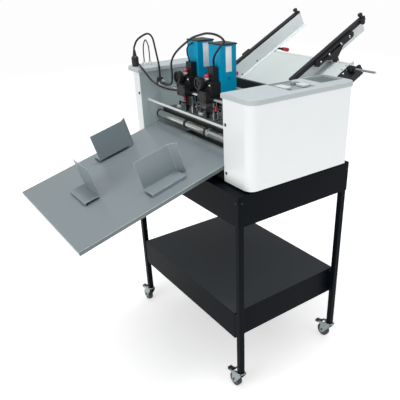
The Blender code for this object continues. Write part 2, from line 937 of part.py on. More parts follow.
def housings():
    """White shells round the outside of each side frame, with their screws."""
    for name, inner, outer, way in (("right_housing", right_inner, right_outer, 1),
                                    ("left_housing", left_inner, left_outer, -1)):
        form = box_form((min(inner, outer), housing_front, machine_floor),
                        (max(inner, outer), housing_rear, housing_top))
        for y, radius in ((housing_front, housing_corner),
                          (housing_rear, housing_rear_corner)):
            round_edges(form, 2, radius, 6,
                        lambda middle, outer=outer, y=y: abs(middle.x - outer) < seat_gap
                        and abs(middle.y - y) < seat_gap)
        open_faces(form, (0, 0, 1), (0, 0, -1), (-way, 0, 0))
        item = sheet(place(name, form, "shell_white"), housing_wall)
        x = inner + way * housing_screw_inset
        for rise in housing_screw_rises:
            fuse(item, screw_form((x, housing_front, machine_floor + rise), (0, -1, 0)),
                 screw_form((x, housing_rear, machine_floor + rise), (0, 1, 0)))


def cover_form(inner, outer, overhang):
    """A thick cover with its outer corners rounded and its upper rim bevelled."""
    form = box_form((min(inner, outer), housing_front - overhang, housing_top + seat_gap),
                    (max(inner, outer), housing_rear + cover_rear, cover_top))
    round_edges(form, 2, cover_corner, 5, lambda middle: abs(middle.x - outer) < seat_gap)
    rim = [edge for edge in form.edges
           if all(corner.co.z > cover_top - seat_gap for corner in edge.verts)]
    bmesh.ops.bevel(form, geom=rim, offset=cover_rim, segments=2, profile=0.5,
                    affect="EDGES")
    return form


def covers():
    """The right cover has the control pocket and a rest, the left one two sockets."""
    right = place("right_cover", cover_form(right_inner - right_cover_lip,
                  right_outer + right_cover_outer, right_cover_front), "cover_grey")
    above = cover_top + cut_overrun
    for low, high, depth in ((panel_low, panel_high, panel_depth),
                             (rest_low, rest_high, rest_depth)):
        cut(right, box_form((right_inner + low[0], low[1], cover_top - depth),
                            (right_inner + high[0], high[1], above)))
    for spot in (start_key_spot, stop_key_spot):
        x = right_inner + spot[0]
        cut(right, rod_form((x, spot[1], housing_top - cut_overrun),
                            (x, spot[1], above), plunger_radius + running_gap / 2,
                            bore_sides))
    left = place("left_cover", cover_form(left_inner + left_cover_lip,
                 left_outer - left_cover_outer, left_cover_front), "cover_grey")
    for y in socket_places:
        fuse(left, rod_form((socket_x, y, cover_top - cover_rim),
                            (socket_x, y, cover_top + socket_rise), socket_radius))


def control_panel():
    """Two keys on plungers and a round speed knob in the right cover's pocket."""
    floor = cover_top - panel_depth
    for name, spot, size in (("start_key", start_key_spot, start_key_size),
                             ("stop_key", stop_key_spot, stop_key_size)):
        x = right_inner + spot[0]
        low = (x - size[0] / 2, spot[1] - size[1] / 2, floor + key_travel + seat_gap)
        high = (x + size[0] / 2, spot[1] + size[1] / 2, floor + key_rise + key_travel)
        spot = (x, spot[1], low[2])
        key = place(name, round_edges(box_form(low, high), 2, key_rise, 3), "key_white",
                    spot)
        end = (x, spot[1], housing_top + seat_gap + key_travel)
        fuse(key, rod_form(end, (x, spot[1], low[2] + key_rise / 2), plunger_radius))
    centre = (right_inner + knob_spot[0], knob_spot[1], floor + seat_gap + knob_rise / 2)
    loop = toothed(centre, knob_radius * 0.92, knob_radius, knob_flutes)
    knob = outline_form([loop], knob_rise, plane_matrix(2, (0, 0, centre[2])))
    place("speed_knob", knob, "part_black", centre)


# Rods, rollers and drive

def fixed_rods():
    """The head rail with its lead clip, the front tie rod and the guides' cross shaft."""
    low = left_inner + seat_gap
    high = right_inner - seat_gap
    rail = place("head_rail", cross_rod(low, high, (rail_y, rail_z), rail_radius,
                 fine_sides), "steel")
    fuse(rail, box_form((clip_x - clip_half, rail_y - clip_half, rail_z - clip_half),
                        (clip_x + clip_half, rail_y + clip_half,
                         rail_z + clip_half * 1.8)))
    smooth(rail)
    smooth(place("front_tie_rod", cross_rod(low, high, (tie_y, tie_z), tie_radius), "steel"))
    shaft = feed_rod((table_left + seat_gap, cross_along, cross_above),
                     (table_right - seat_gap, cross_along, cross_above), cross_radius)
    smooth(place("guide_cross_shaft", shaft, "steel"))


def pulley_forms(centre):
    """A flanged pulley outside the right side frame."""
    low = belt_x - pulley_width / 2
    high = belt_x + pulley_width / 2
    rim = pulley_radius + pulley_flange
    return [cross_rod(low, high, centre, pulley_radius),
            cross_rod(low - pulley_flange, low + seat_gap, centre, rim),
            cross_rod(high - seat_gap, high + pulley_flange, centre, rim)]


def journal(centre, driven):
    """The thin shaft through both side frames, longer on the right where it is driven."""
    tail = frame_sheet + journal_tail
    reach = belt_x - right_inner + pulley_width / 2 if driven else tail
    return cross_rod(left_inner - tail, right_inner + reach, centre, journal_radius)


def exit_roller():
    """A steel roller with rubber rings and a clamp collar."""
    centre = (roller_y, roller_z)
    roller = place("exit_roller", cross_rod(left_inner + roller_end_gap,
                   right_inner - roller_end_gap, centre, roller_radius, fine_sides),
                   "steel", (machine_offset, roller_y, roller_z))
    fuse(roller, journal(centre, True), *pulley_forms(centre))
    for x in ring_places:
        fuse(roller, cross_rod(x, x + ring_width, centre, roller_radius + ring_height,
                               fine_sides))
    x = ring_places[-1] + ring_width * 1.6
    fuse(roller, cross_rod(x, x + collar_width, centre, roller_radius + ring_height / 2,
                           fine_sides))
    return smooth(roller)


def anvil_roller():
    """The plain steel roller under the bed's slot that the blades press on."""
    centre = (anvil_y, anvil_z)
    inset = bed_strip + roller_end_gap
    roller = place("anvil_roller", cross_rod(left_inner + inset, right_inner - inset, centre,
                   anvil_radius, fine_sides), "steel", (machine_offset, anvil_y, anvil_z))
    return smooth(fuse(roller, journal(centre, False)))


def perforating_shaft():
    """A shaft with two toothed perforating blades on clamped hubs."""
    centre = (anvil_y, perforator_z)
    shaft = place("perforating_shaft", cross_rod(left_inner + roller_end_gap,
                  right_inner - roller_end_gap, centre, rail_radius), "steel",
                  (machine_offset, anvil_y, perforator_z))
    fuse(shaft, journal(centre, False))
    loop = toothed(centre, blade_radius - blade_depth, blade_radius, blade_teeth, True)
    for x in perforator_places:
        middle = x + perforator_hub_width / 2
        fuse(shaft, cross_rod(x, x + perforator_hub_width, centre, perforator_hub,
                              fine_sides),
             outline_form([loop], blade_sheet, plane_matrix(0, (middle, 0, 0))))
    return smooth(shaft)


def feed_rollers():
    """One shaft with three rubber sleeves that lift the paper out of the table."""
    centre = (feed_roller.y, feed_roller.z)
    shaft = place("feed_roller", journal(centre, True), "rubber",
                  (machine_offset, feed_roller.y, feed_roller.z))
    for step in (-1, 0, 1):
        middle = machine_offset + step * feed_sleeve_pitch
        fuse(shaft, cross_rod(middle - feed_sleeve / 2, middle + feed_sleeve / 2, centre,
                              feed_roller_radius, fine_sides))
    return smooth(fuse(shaft, *pulley_forms(centre)))


def drive_motor():
    """A round motor on a footed flange, its pulley in line with the two rollers."""
    centre = (motor_y, motor_z)
    back = belt_x + pulley_width / 2 + pulley_flange + motor_gap
    face = right_inner + frame_sheet + seat_gap
    motor = place("drive_motor", cross_rod(back, back + motor_length, centre, motor_radius,
                  fine_sides), "part_black", (back, motor_y, motor_z))
    fuse(motor, cross_rod(face, back + motor_shaft, centre, motor_shaft),
         *pulley_forms(centre))
    post = motor_shaft * 1.2
    z = motor_z - motor_radius * 0.7
    for y in (motor_y - motor_radius * 0.7, motor_y + motor_radius * 0.7):
        fuse(motor, box_form((face, y - post, z - post),
                             (back + motor_length / 4, y + post, z + post)))
    return motor


def belt_loop(centres, radius, arc_steps=8):
    """The path of a belt round circles given in anticlockwise order."""
    loop = []
    count = len(centres)
    for index, spot in enumerate(centres):
        before = centres[index - 1]
        after = centres[(index + 1) % count]
        first = math.atan2(spot[1] - before[1], spot[0] - before[0]) - math.pi / 2
        last = math.atan2(after[1] - spot[1], after[0] - spot[0]) - math.pi / 2
        while last < first:
            last += 2 * math.pi
        for step in range(arc_steps + 1):
            turn = first + (last - first) * step / arc_steps
            loop.append((spot[0] + radius * math.cos(turn),
                         spot[1] + radius * math.sin(turn)))
    return loop


def drive_belt():
    centres = [(motor_y, motor_z), (feed_roller.y, feed_roller.z), (roller_y, roller_z)]
    inner = belt_loop(centres, pulley_radius + seat_gap)
    outer = belt_loop(centres, pulley_radius + seat_gap + belt_sheet)
    form = outline_form([outer, inner], belt_width, plane_matrix(0, (belt_x, 0, 0)))
    return place("drive_belt", form, "rubber")


# Paper path

def bed_plate():
    """A bent sheet: exit flange, flat bed with the anvil's slot, and the first climb."""
    half = bed_sheet / 2
    end = feed_start + feed_along * bed_climb - feed_up * half
    profile = [(bed_front_y, bed_top - bed_flange), (bed_front_y, bed_top - half),
               (bed_bend_y, bed_top - half), (end.y, end.z)]
    low = left_inner + bed_side_gap
    high = right_inner - bed_side_gap
    bed = place("bed_plate", bent_form(profile, 0, low, high), "steel")
    sheet(bed, bed_sheet, 0)
    reach = anvil_radius + bed_slot
    cut(bed, box_form((left_inner + bed_strip, anvil_y - reach, bed_top - cut_overrun * 2),
                      (right_inner - bed_strip, anvil_y + reach, bed_top + cut_overrun)))
    return bed


def feed_bar():
    form = box_form((left_inner + seat_gap, bar_y - bar_half_depth, bar_low),
                    (right_inner - seat_gap, bar_y + bar_half_depth, bar_high))
    return place("feed_bar", round_edges(form, 0, bar_half_depth * 0.25, 2), "part_black")


def feed_table():
    """A folded plate with lugs to the side frames and ears for the cross shaft."""
    form = box_form((table_left, table_start, -table_flange), (table_right, table_end, 0))
    open_faces(form, (0, 0, -1), (0, -1, 0))
    table = place("feed_table", moved(form, feed_matrix()), "table_grey")
    sheet(table, table_sheet)
    start = table_start - table_flange * 0.7
    end = start + table_lug_length
    low = -table_flange * 0.9
    high = -table_flange * 0.35
    for near, far in ((table_left + table_sheet / 2, left_inner + seat_gap),
                      (table_right - table_sheet / 2, right_inner - seat_gap)):
        fuse(table, feed_box((min(near, far), start, low), (max(near, far), end, high)))
    for near, way in ((table_left, 1), (table_right, -1)):
        ends = sorted((near + way * table_sheet * 0.4, near + way * ear_sheet))
        fuse(table, feed_box((ends[0], table_end - ear_sheet, low),
                             (ends[1], ear_reach, -table_sheet / 2)))
    cut(table, feed_rod((table_left - cut_overrun, cross_along, cross_above),
                        (table_right + cut_overrun, cross_along, cross_above),
                        cross_radius + running_gap / 2, bore_sides))
    return table


def guide_panel(name, x, way):
    """An L-shaped panel whose foot lies on the table on the paper side."""
    low = seat_gap + guide_sheet / 2
    profile = [(x - way * guide_foot, low), (x, low), (x, guide_height)]
    form = bent_form(profile, 1, guide_start, guide_end)
    return sheet(place(name, moved(form, feed_matrix()), "table_grey"), guide_sheet, 0)


def small_knob(start, way):
    """A knob on its stem, square to the face at the start point."""
    start = Vector(start)
    way = Vector(way)
    stem = guide_knob_radius * 0.4
    neck = start + way * guide_knob_height * 0.5
    return [feed_rod(start - way * stem, neck + way * stem, stem, pin_sides),
            feed_rod(neck, start + way * guide_knob_height, guide_knob_radius)]


def arm_middle(x, way):
    """The middle of the arm's thickness, outside the guide's rail."""
    return x + way * (guide_sheet / 2 + seat_gap + rail_width + bracket_sheet / 4)


def guide_bracket(plate_x, top):
    """A bar with round ends, and the arm that tapers from it down to the cross shaft."""
    half = bracket_height / 2
    start, end = bracket_start + half, bracket_end - half
    bar = [(end + half * math.sin(turn), top - half + half * math.cos(turn))
           for turn in (math.pi * step / pin_sides for step in range(pin_sides + 1))]
    bar += [(start - half * math.sin(turn), top - half - half * math.cos(turn))
            for turn in (math.pi * step / pin_sides for step in range(pin_sides + 1))]
    wide = [bracket_start + (bracket_end - bracket_start) * share for share in arm_shares]
    arm = [(wide[0], top - half), (cross_along - arm_half, arm_taper),
           (cross_along - arm_half, arm_low), (cross_along + arm_half, arm_low),
           (cross_along + arm_half, arm_taper), (wide[1], top - half)]
    middle = (plate_x[0] + plate_x[1]) / 2
    turn = feed_matrix() @ plane_matrix(0, (middle, 0, 0))
    thick = plate_x[1] - plate_x[0]
    return [outline_form([bar], thick, turn),
            outline_form([arm], thick - running_gap * 2, turn)]


def guide_rail(name, x, way):
    """The rail along the panel's top, its bolted bracket, its arm and two knobs."""
    near = x + way * (guide_sheet / 2 + seat_gap)
    far = near + way * rail_width
    top = rail_low + rail_height
    middle = rail_low + rail_height / 2
    rail_x = sorted((near, far))
    spot = feed_spot((near + far) / 2, cross_along, cross_above)
    rail = place(name, feed_box((rail_x[0], guide_start, rail_low),
                                (rail_x[1], guide_end, top)), "part_black", spot)
    plate_x = sorted((far - way * bracket_sheet / 2, far + way * bracket_sheet))
    fuse(rail, *guide_bracket(plate_x, middle))
    face = far + way * bracket_sheet
    for share in guide_bolt_shares:
        along = bracket_start + (bracket_end - bracket_start) * share
        height = middle - bracket_height / 2
        fuse(rail, feed_rod((face - way * guide_bolt_height, along, height),
                            (face + way * guide_bolt_height, along, height),
                            guide_bolt_radius, pin_sides))
    if way < 0:
        lever_mount(rail)
    along = guide_end - guide_knob_radius * 1.5
    fuse(rail, *small_knob(((near + far) / 2, along, top), (0, 0, 1)))
    if way > 0:
        knob = along - guide_knob_radius * 1.6
        fuse(rail, *small_knob((far, knob, middle), (way, 0, 0)))
    else:
        block_x = sorted((far - way * bracket_sheet / 2, far + way * clip_block_reach))
        block = bracket_start - clip_block_half * 2
        fuse(rail, feed_box((block_x[0], block, rail_low + seat_gap),
                            (block_x[1], bracket_start + bracket_sheet / 2,
                             top + seat_gap)))
    return cut(rail, feed_rod((plate_x[0] - cut_overrun, cross_along, cross_above),
                              (plate_x[1] + cut_overrun, cross_along, cross_above),
                              cross_radius + running_gap / 2, bore_sides))


def guides():
    for label, x, way in (("left", left_guide_x, -1), ("right", right_guide_x, 1)):
        guide_panel(label + "_guide", x, way)
        guide_rail(label + "_guide_rail", x, way)


def side_adjuster():
    """A block beside the table with two bosses, and the knurled handle they carry."""
    low = table_right + seat_gap
    high = low + block_width
    block = place("side_block", feed_box((low, block_start, block_low),
                                         (high, block_end, 0)), "part_black")
    first = low + handle_start
    last = high - right_boss
    crest = handle_above + boss_half
    for start, length in ((first, left_boss), (last, right_boss)):
        fuse(block, feed_box((start, handle_along - boss_half, block_low / 2),
                             (start + length, handle_along + boss_half, crest)))
    cut(block, feed_rod((first - cut_overrun, handle_along, handle_above),
                        (high + cut_overrun, handle_along, handle_above),
                        handle_radius + running_gap / 2, bore_sides))
    centre = (handle_along, handle_above)
    handle = place("side_handle", feed_rod((first, *centre), (first + handle_length,
                   *centre), handle_radius), "steel", feed_spot(high, *centre))
    loop = toothed((0, 0), handle_knob_radius * 0.92, handle_knob_radius, knob_flutes)
    start = first + left_boss + running_gap
    end = last - running_gap
    turn = Matrix.Translation(((start + end) / 2, *centre)) @ plane_matrix(0, (0, 0, 0))
    fuse(handle, outline_form([loop], end - start, feed_matrix() @ turn))
    return handle


def lift_lever():
    """A flat lever that turns on a pin behind the left guide's arm, with a round grip."""
    x = arm_middle(left_guide_x, -1)
    axis = feed_spot(x, lever_along, lever_above)
    half = lever_half
    lever = place("lift_lever", feed_rod((x, lever_along, lever_above - half),
                  (x, lever_along, lever_above + half), lever_hub), "part_black", axis)
    tip = x + lever_length
    fuse(lever, feed_box((x, lever_along - half, lever_above - half / 2),
                         (tip, lever_along + half, lever_above + half / 2)),
         feed_rod((tip - lever_grip, lever_along, lever_above),
                  (tip, lever_along, lever_above), lever_grip_radius))
    return cut(lever, feed_rod((x, lever_along, lever_above - half - cut_overrun),
                               (x, lever_along, lever_above + half + cut_overrun),
                               lever_pin_radius + running_gap / 2, bore_sides))


def lever_mount(rail):
    """A plate behind the arm with a headed pin, fused to the left guide's rail."""
    x = arm_middle(left_guide_x, -1)
    half = bracket_sheet * 0.6
    seat = lever_above - lever_half - running_gap
    top = lever_above + lever_half + running_gap
    return fuse(rail, feed_box((x - half, cross_along, seat - half),
                               (x + half, lever_along + lever_hub, seat)),
                feed_rod((x, lever_along, seat - half / 2), (x, lever_along,
                         top + seat_gap), lever_pin_radius, bore_sides),
                feed_rod((x, lever_along, top), (x, lever_along, top + half / 3),
                         lever_pin_head))


# Numbering heads

def head_carriage(name, x):
    """The block that slides on the rail, with its control box, socket and lamp."""
    rear = rail_y + carriage_rear
    top = rail_z + head_box_top
    block = place(name, box_form((x - carriage_half, rail_y - carriage_front,
                                  rail_z - carriage_low),
                                 (x + carriage_half, rear, rail_z + carriage_high)),
                  "part_black", (x, rail_y, rail_z))
    lamp = x - lamp_radius / 2
    fuse(block, box_form((x - head_box_left, rail_y - head_box_front,
                          rail_z + carriage_high / 2), (x + head_box_right, rear, top)),
         box_form((x - connector_left, rail_y + connector_front, top - tower_cap),
                  (x + connector_right, rear - tower_cap, rail_z + connector_top)),
         rod_form((lamp, rail_y + lamp_radius / 3, top - tower_cap),
                  (lamp, rail_y + lamp_radius / 3, top + lamp_height), lamp_radius))
    reach = carriage_half + cut_overrun
    return cut(block, cross_rod(x - reach, x + reach, (rail_y, rail_z),
                                rail_radius + running_gap / 2, fine_sides))


def head_tower(name, x):
    """The blue drive tower behind the carriage, with its dark top plate."""
    front = rail_y + carriage_rear + seat_gap
    back = front + tower_depth
    form = box_form((x - tower_half, front, tower_low), (x + tower_half, back,
                    tower_high - tower_cap))
    open_faces(form, (0, 0, -1))
    tower = place(name, form, "tower_blue", (x, rail_y, rail_z))
    sheet(tower, tower_wall)
    return fuse(tower, box_form((x - tower_half - tower_lip, front, tower_high
                                 - tower_cap * 1.5), (x + tower_half + tower_lip,
                                 back + tower_lip, tower_high)))


def head_wheel(name, x):
    """A fluted wheel on a hub, hollow in front, that clamps the head on its rail."""
    centre = (x + clamp_offset, rail_z + clamp_rise)
    back = rail_y - head_box_front - seat_gap
    rear = back - clamp_stub
    front = rear - clamp_length
    loop = toothed(centre, clamp_radius * 0.94, clamp_radius, clamp_flutes)
    form = outline_form([loop], clamp_length, plane_matrix(1, (0, (rear + front) / 2, 0)))
    wheel = place(name, form, "part_black", (centre[0], back, centre[1]))
    fuse(wheel, rod_form((centre[0], rear - clamp_stub, centre[1]),
                         (centre[0], back, centre[1]), clamp_radius * 0.55))
    return cut(wheel, rod_form((centre[0], front - cut_overrun, centre[1]),
                               (centre[0], front + clamp_stub, centre[1]),
                               clamp_radius * 0.72))


def number_box(name, x, cup_x, tab_x):
    """A forked box with number wheels on a pin, a cup on an arm and a pressing tab."""
    top = rail_z - carriage_low - seat_gap
    middle_y = -(number_front + number_rear) / 2
    axle = (middle_y, number_low + number_wheel_radius)
    deck = axle[1] + number_wheel_radius * 1.3
    side = number_wheel_width
    box = place(name, box_form((x - number_half, -number_front, deck),
                               (x + number_half, -number_rear, number_deck)), "steel",
                (x, middle_y, top))
    neck_back = rail_y + carriage_rear - number_neck_gap
    fuse(box, box_form((x - number_half, -number_front, deck + side),
                       (x + number_half, neck_back, top)))
    for start in (x - number_half, x + number_half - side):
        fuse(box, box_form((start, -number_front, number_low + side),
                           (start + side, -number_rear, deck + side)))
    fuse(box, cross_rod(x - number_half + side / 2, x + number_half - side / 2, axle,
                        number_wheel_radius * 0.3, pin_sides))
    pitch = number_wheel_width + number_wheel_gap
    start = x - (pitch * number_wheel_count - number_wheel_gap) / 2
    for step in range(number_wheel_count):
        fuse(box, cross_rod(start + step * pitch, start + step * pitch + number_wheel_width,
                            axle, number_wheel_radius))
    cup = (x + cup_x, -number_front - cup_reach)
    arm = number_deck - cup_arm * 2
    fuse(box, box_form((cup[0] - cup_arm / 2, cup[1], arm),
                       (x - number_half + side, cup[1] + cup_arm, arm + cup_arm)),
         box_form((x - number_half, cup[1] + cup_arm / 4, arm + cup_arm / 4),
                  (x - number_half + side * 0.8, -number_front + side, arm + cup_arm * 0.75)),
         rod_form((*cup, arm + cup_arm * 1.5 - cup_height), (*cup, arm + cup_arm * 1.5),
                  cup_radius))
    tab = (x + tab_x, -number_front - press_tab_radius)
    foot = number_deck + press_tab_radius
    return fuse(box, box_form((min(tab[0], x), tab[1] + cup_arm / 4, foot - cup_arm),
                              (max(tab[0], x), -number_front + side, foot)),
                rod_form((*tab, foot - cup_arm * 1.25), (*tab, foot + press_tab_height),
                         press_tab_radius))


def heads():
    for label, x, cup_x, tab_x in (("near_head", near_head_x, near_cup_x, near_tab_x),
                                   ("far_head", far_head_x, far_cup_x, far_tab_x)):
        carriage = head_carriage(label + "_carriage", x)
        head_tower(label + "_tower", x)
        head_wheel(label + "_wheel", x)
        number_box(label + "_number_box", x, cup_x, tab_x)
    foot = rail_z + connector_top
    face = rail_y + carriage_rear
    x = far_head_x - link_out
    y = rail_y + link_back
    height = tower_high - link_drop
    land = far_head_x + link_land
    bow = [(x - link_out * out, y, foot + (height - foot) * up)
           for out, up in link_bow_shares]
    fuse(carriage, tube_form([(x, y, foot - link_radius), (x, y, foot + link_radius * 2),
                              *bow, (land, face - link_radius * 2, height),
                              (land, face, height)], link_radius))


# Delivery side

def delivery_tray():
    """A folded tray whose side flanges hook over pegs on the side frames."""
    form = box_form((-tray_left - tray_width, 0, -tray_flange),
                    (-tray_left, tray_length, 0))
    open_faces(form, (0, 0, -1), (0, -1, 0))
    tray = place("delivery_tray", moved(form, tray_matrix()), "tray_grey")
    sheet(tray, tray_sheet)
    peg_drop = tray_flange * 0.6
    reach = peg_radius + running_gap / 2
    for x in (tray_left, tray_left + tray_width):
        low = -x - tray_sheet * 2
        high = -x + tray_sheet * 2
        hook = box_form((low, tray_hook_along - reach, -tray_flange - cut_overrun),
                        (high, tray_hook_along + reach, reach - peg_drop))
        cut(tray, moved(hook, tray_matrix()))
    for x in tray_slot_places:
        slot = box_form((-x - tray_slot_size[0] / 2, tray_slot_along, -cut_overrun * 2),
                        (-x + tray_slot_size[0] / 2, tray_slot_along + tray_slot_size[1],
                         cut_overrun))
        cut(tray, moved(slot, tray_matrix()))
    return tray


def stop_form(way, flared):
    """A bent stop: a raised foot and an upright plate, with or without a flared edge."""
    half = stop_sheet / 2
    low = stop_clearance
    foot_top = stop_foot_height - half
    face = way * half
    profile = [(way * stop_foot, low), (way * stop_foot, foot_top), (face, foot_top),
               (face, stop_height)]
    form = bent_form(profile, 1, 0, stop_length)
    if not flared:
        return form
    reach = way * (half + stop_flare * math.sin(stop_flare_turn))
    run = stop_length + stop_flare * math.cos(stop_flare_turn)
    ends = [vert for vert in form.verts
            if abs(vert.co.y - stop_length) < weld and abs(vert.co.x - face) < weld]
    ends.sort(key=lambda vert: vert.co.z)
    corner = form.verts.new((face, stop_length, low))
    tip_low = form.verts.new((reach, run, low))
    tip_high = form.verts.new((reach, run, stop_height))
    form.faces.new((corner, ends[0], ends[1], tip_high, tip_low))
    return form


def stops():
    """A flared left and right one beside the paper, and a plain one across its end."""
    for name, x, along, quarter, way, flared in (
            ("left_stop", left_stop_x, side_stop_along + stop_length, 1, -1, True),
            ("right_stop", right_stop_x, side_stop_along + stop_length, 1, 1, True),
            ("end_stop", end_stop_x, end_stop_along, 2, 1, False)):
        matrix = tray_matrix(x, along, quarter)
        item = place(name, moved(stop_form(way, flared), matrix), "tray_grey", matrix.translation)
        sheet(item, stop_sheet, 0)


# Leads

def lead_plug():
    """A round plug with a tapered boot, standing on the left cover."""
    top = plug_height + plug_boot
    profile = [(0, top), (lead_radius * 1.4, top), (lead_radius * 2, plug_height),
               (plug_radius * 0.8, plug_height), (plug_radius, plug_height * 0.7),
               (plug_radius, 0), (0, 0)]
    return turned("lead_plug", profile, "part_black", (plug_x, plug_y, cover_top + seat_gap),
                  closed=False, steps=rod_sides)


def leads():
    lead_plug()
    tube("plug_lead", plug_route, lead_radius)
    tube("near_head_lead", near_lead_route, lead_radius)
    tube("far_head_lead", far_lead_route, lead_radius)
    low = cover_top + socket_rise + seat_gap
    first, last = socket_places
    rise = jumper_rise
    tube("jumper_lead", ((socket_x, first, low), (socket_x, first, low + jumper_radius * 2),
                         (socket_x, first, low + rise * 0.4),
                         (socket_x, first + jumper_radius, low + rise * 0.75),
                         (socket_x, (first + last) / 2, low + rise),
                         (socket_x, last - jumper_radius, low + rise * 0.75),
                         (socket_x, last, low + rise * 0.4),
                         (socket_x, last, low + jumper_radius * 2),
                         (socket_x, last, low)), jumper_radius)


def shift_origin():
    step = Vector((-origin_x, -origin_y, 0))
    for item in list(machine.objects) + list(cutters.objects):
        item.location = item.location + step


def build():
    stand_frame()
    stand_top()
    casters()
    base_pan()
    side_frames()
    housings()
    covers()
    control_panel()
    fixed_rods()
    exit_roller()
    anvil_roller()
    perforating_shaft()
    feed_rollers()
    drive_motor()
    drive_belt()
    bed_plate()
    feed_bar()
    feed_table()
    guides()
    side_adjuster()
    lift_lever()
    heads()
    delivery_tray()
    stops()
    leads()
    shift_origin()


build()
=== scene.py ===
"""A numbering and perforating machine on its wheeled stand, dressed for a studio photograph.

Metres, +Z up. The sections follow the machine as it is put together, from the stand up:
each holds one piece or a group of like pieces, with its sizes, its finish and its body.
"""
import math

import bmesh
import bpy
from mathutils import Euler, Matrix, Vector


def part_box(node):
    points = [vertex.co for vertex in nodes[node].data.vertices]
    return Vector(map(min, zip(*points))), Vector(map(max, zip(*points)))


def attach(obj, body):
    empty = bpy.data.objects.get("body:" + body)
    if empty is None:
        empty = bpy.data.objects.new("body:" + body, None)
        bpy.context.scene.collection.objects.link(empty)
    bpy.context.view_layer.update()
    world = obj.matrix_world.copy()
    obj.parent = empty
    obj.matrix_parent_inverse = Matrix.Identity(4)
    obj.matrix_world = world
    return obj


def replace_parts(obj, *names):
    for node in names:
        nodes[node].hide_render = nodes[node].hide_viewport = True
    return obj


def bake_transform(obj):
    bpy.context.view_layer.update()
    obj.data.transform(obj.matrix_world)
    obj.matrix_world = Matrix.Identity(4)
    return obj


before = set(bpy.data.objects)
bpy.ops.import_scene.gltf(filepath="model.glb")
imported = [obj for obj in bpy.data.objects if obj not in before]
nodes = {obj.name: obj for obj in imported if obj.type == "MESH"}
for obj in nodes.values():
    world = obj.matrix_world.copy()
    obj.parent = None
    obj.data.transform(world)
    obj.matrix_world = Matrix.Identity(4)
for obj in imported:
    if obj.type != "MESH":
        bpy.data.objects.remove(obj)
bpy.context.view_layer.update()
bpy.context.scene.view_settings.view_transform = "Standard"

# ---------------------------------------------------------------- View and studio
# One camera stands in front of the machine's right corner, a little above it. The
# machine stands on a seamless pale floor, between large soft lamps.
camera = bpy.data.objects.new("camera", bpy.data.cameras.new("camera"))
camera.location = (1.35025, -0.9105, 1.3042)
camera.rotation_euler = Euler((math.radians(63.17), math.radians(0.83), math.radians(53.20)))
camera.data.lens = 44.565
camera.data.sensor_width = 36
camera.data.shift_x = -0.08338
camera.data.shift_y = 0.04520
camera.data.clip_start = 0.01
bpy.context.scene.collection.objects.link(camera)
bpy.context.scene.camera = camera

floor_form = bmesh.new()
bmesh.ops.create_grid(floor_form, x_segments=8, y_segments=8, size=6)
floor_mesh = bpy.data.meshes.new("floor")
floor_form.to_mesh(floor_mesh)
floor_form.free()
floor = bpy.data.objects.new("floor", floor_mesh)
floor.location.z = -0.0004
bpy.context.scene.collection.objects.link(floor)


def set_values(node, values):
    """Constant values on a shader node's own sockets."""
    for socket, value in values.items():
        node.inputs[socket].default_value = value


floor_paint = bpy.data.materials.new("floor_paper")
floor_paint.use_nodes = True
paper_tree = floor_paint.node_tree
floor_paper = paper_tree.nodes["Principled BSDF"]
set_values(floor_paper, {"Base Color": (0.93, 0.93, 0.93, 1), "Roughness": 0.85,
                         "Specular IOR Level": 0.1, "Emission Color": (1, 1, 1, 1)})
# The paper's glow is painted weaker close to the stand: a painted shadow pool under the machine.
paper_place = paper_tree.nodes.new("ShaderNodeTexCoord")
paper_reach = paper_tree.nodes.new("ShaderNodeVectorMath")
paper_reach.operation = "LENGTH"
painted_floor_shadow = paper_tree.nodes.new("ShaderNodeMapRange")
set_values(painted_floor_shadow, {"From Min": 0.20, "From Max": 0.50, "To Min": 0.43, "To Max": 0.57})
paper_tree.links.new(paper_place.outputs["Object"], paper_reach.inputs[0])
paper_tree.links.new(paper_reach.outputs["Value"], painted_floor_shadow.inputs["Value"])
paper_tree.links.new(painted_floor_shadow.outputs["Result"], floor_paper.inputs["Emission Strength"])
floor_mesh.materials.append(floor_paint)

studio = bpy.data.worlds.new("studio")
bpy.context.scene.world = studio
studio.use_nodes = True
room = studio.node_tree
room_light = room.nodes["Background"]
set_values(room_light, {"Color": (1, 1, 1, 1), "Strength": 0.50})
backdrop = room.nodes.new("ShaderNodeBackground")
set_values(backdrop, {"Color": (1, 1, 1, 1), "Strength": 0.985})
seen_or_lit = room.nodes.new("ShaderNodeMixShader")
ray = room.nodes.new("ShaderNodeLightPath")
room.links.new(ray.outputs["Is Camera Ray"], seen_or_lit.inputs["Fac"])
room.links.new(room_light.outputs["Background"], seen_or_lit.inputs[1])
room.links.new(backdrop.outputs["Background"], seen_or_lit.inputs[2])
room.links.new(seen_or_lit.outputs["Shader"], room.nodes["World Output"].inputs["Surface"])


def lamp(name, spot, aim, size, power):
    """A square soft lamp that faces the point it is aimed at."""
    light = bpy.data.lights.new(name, "AREA")
    light.size = size
    light.energy = power
    item = bpy.data.objects.new(name, light)
    item.location = spot
    item.rotation_euler = (Vector(aim) - Vector(spot)).to_track_quat("-Z", "Y").to_euler()
    bpy.context.scene.collection.objects.link(item)


lamp("top_lamp", (0.15, -0.15, 3.2), (0, 0, 0.6), 0.7, 32)
lamp("right_lamp", (2.8, 0.6, 1.9), (0.2, 0, 0.7), 1.8, 8.6)
lamp("front_lamp", (0.6, -2.9, 1.8), (0, 0, 0.7), 1.8, 23)

# ---------------------------------------------------------------- Leads
# Black rubber-sheathed leads of 6.4 mm, held by a socket or a clip at both ends. They
# rise in free loops over the rail, so they are tubes swept along their real routes.


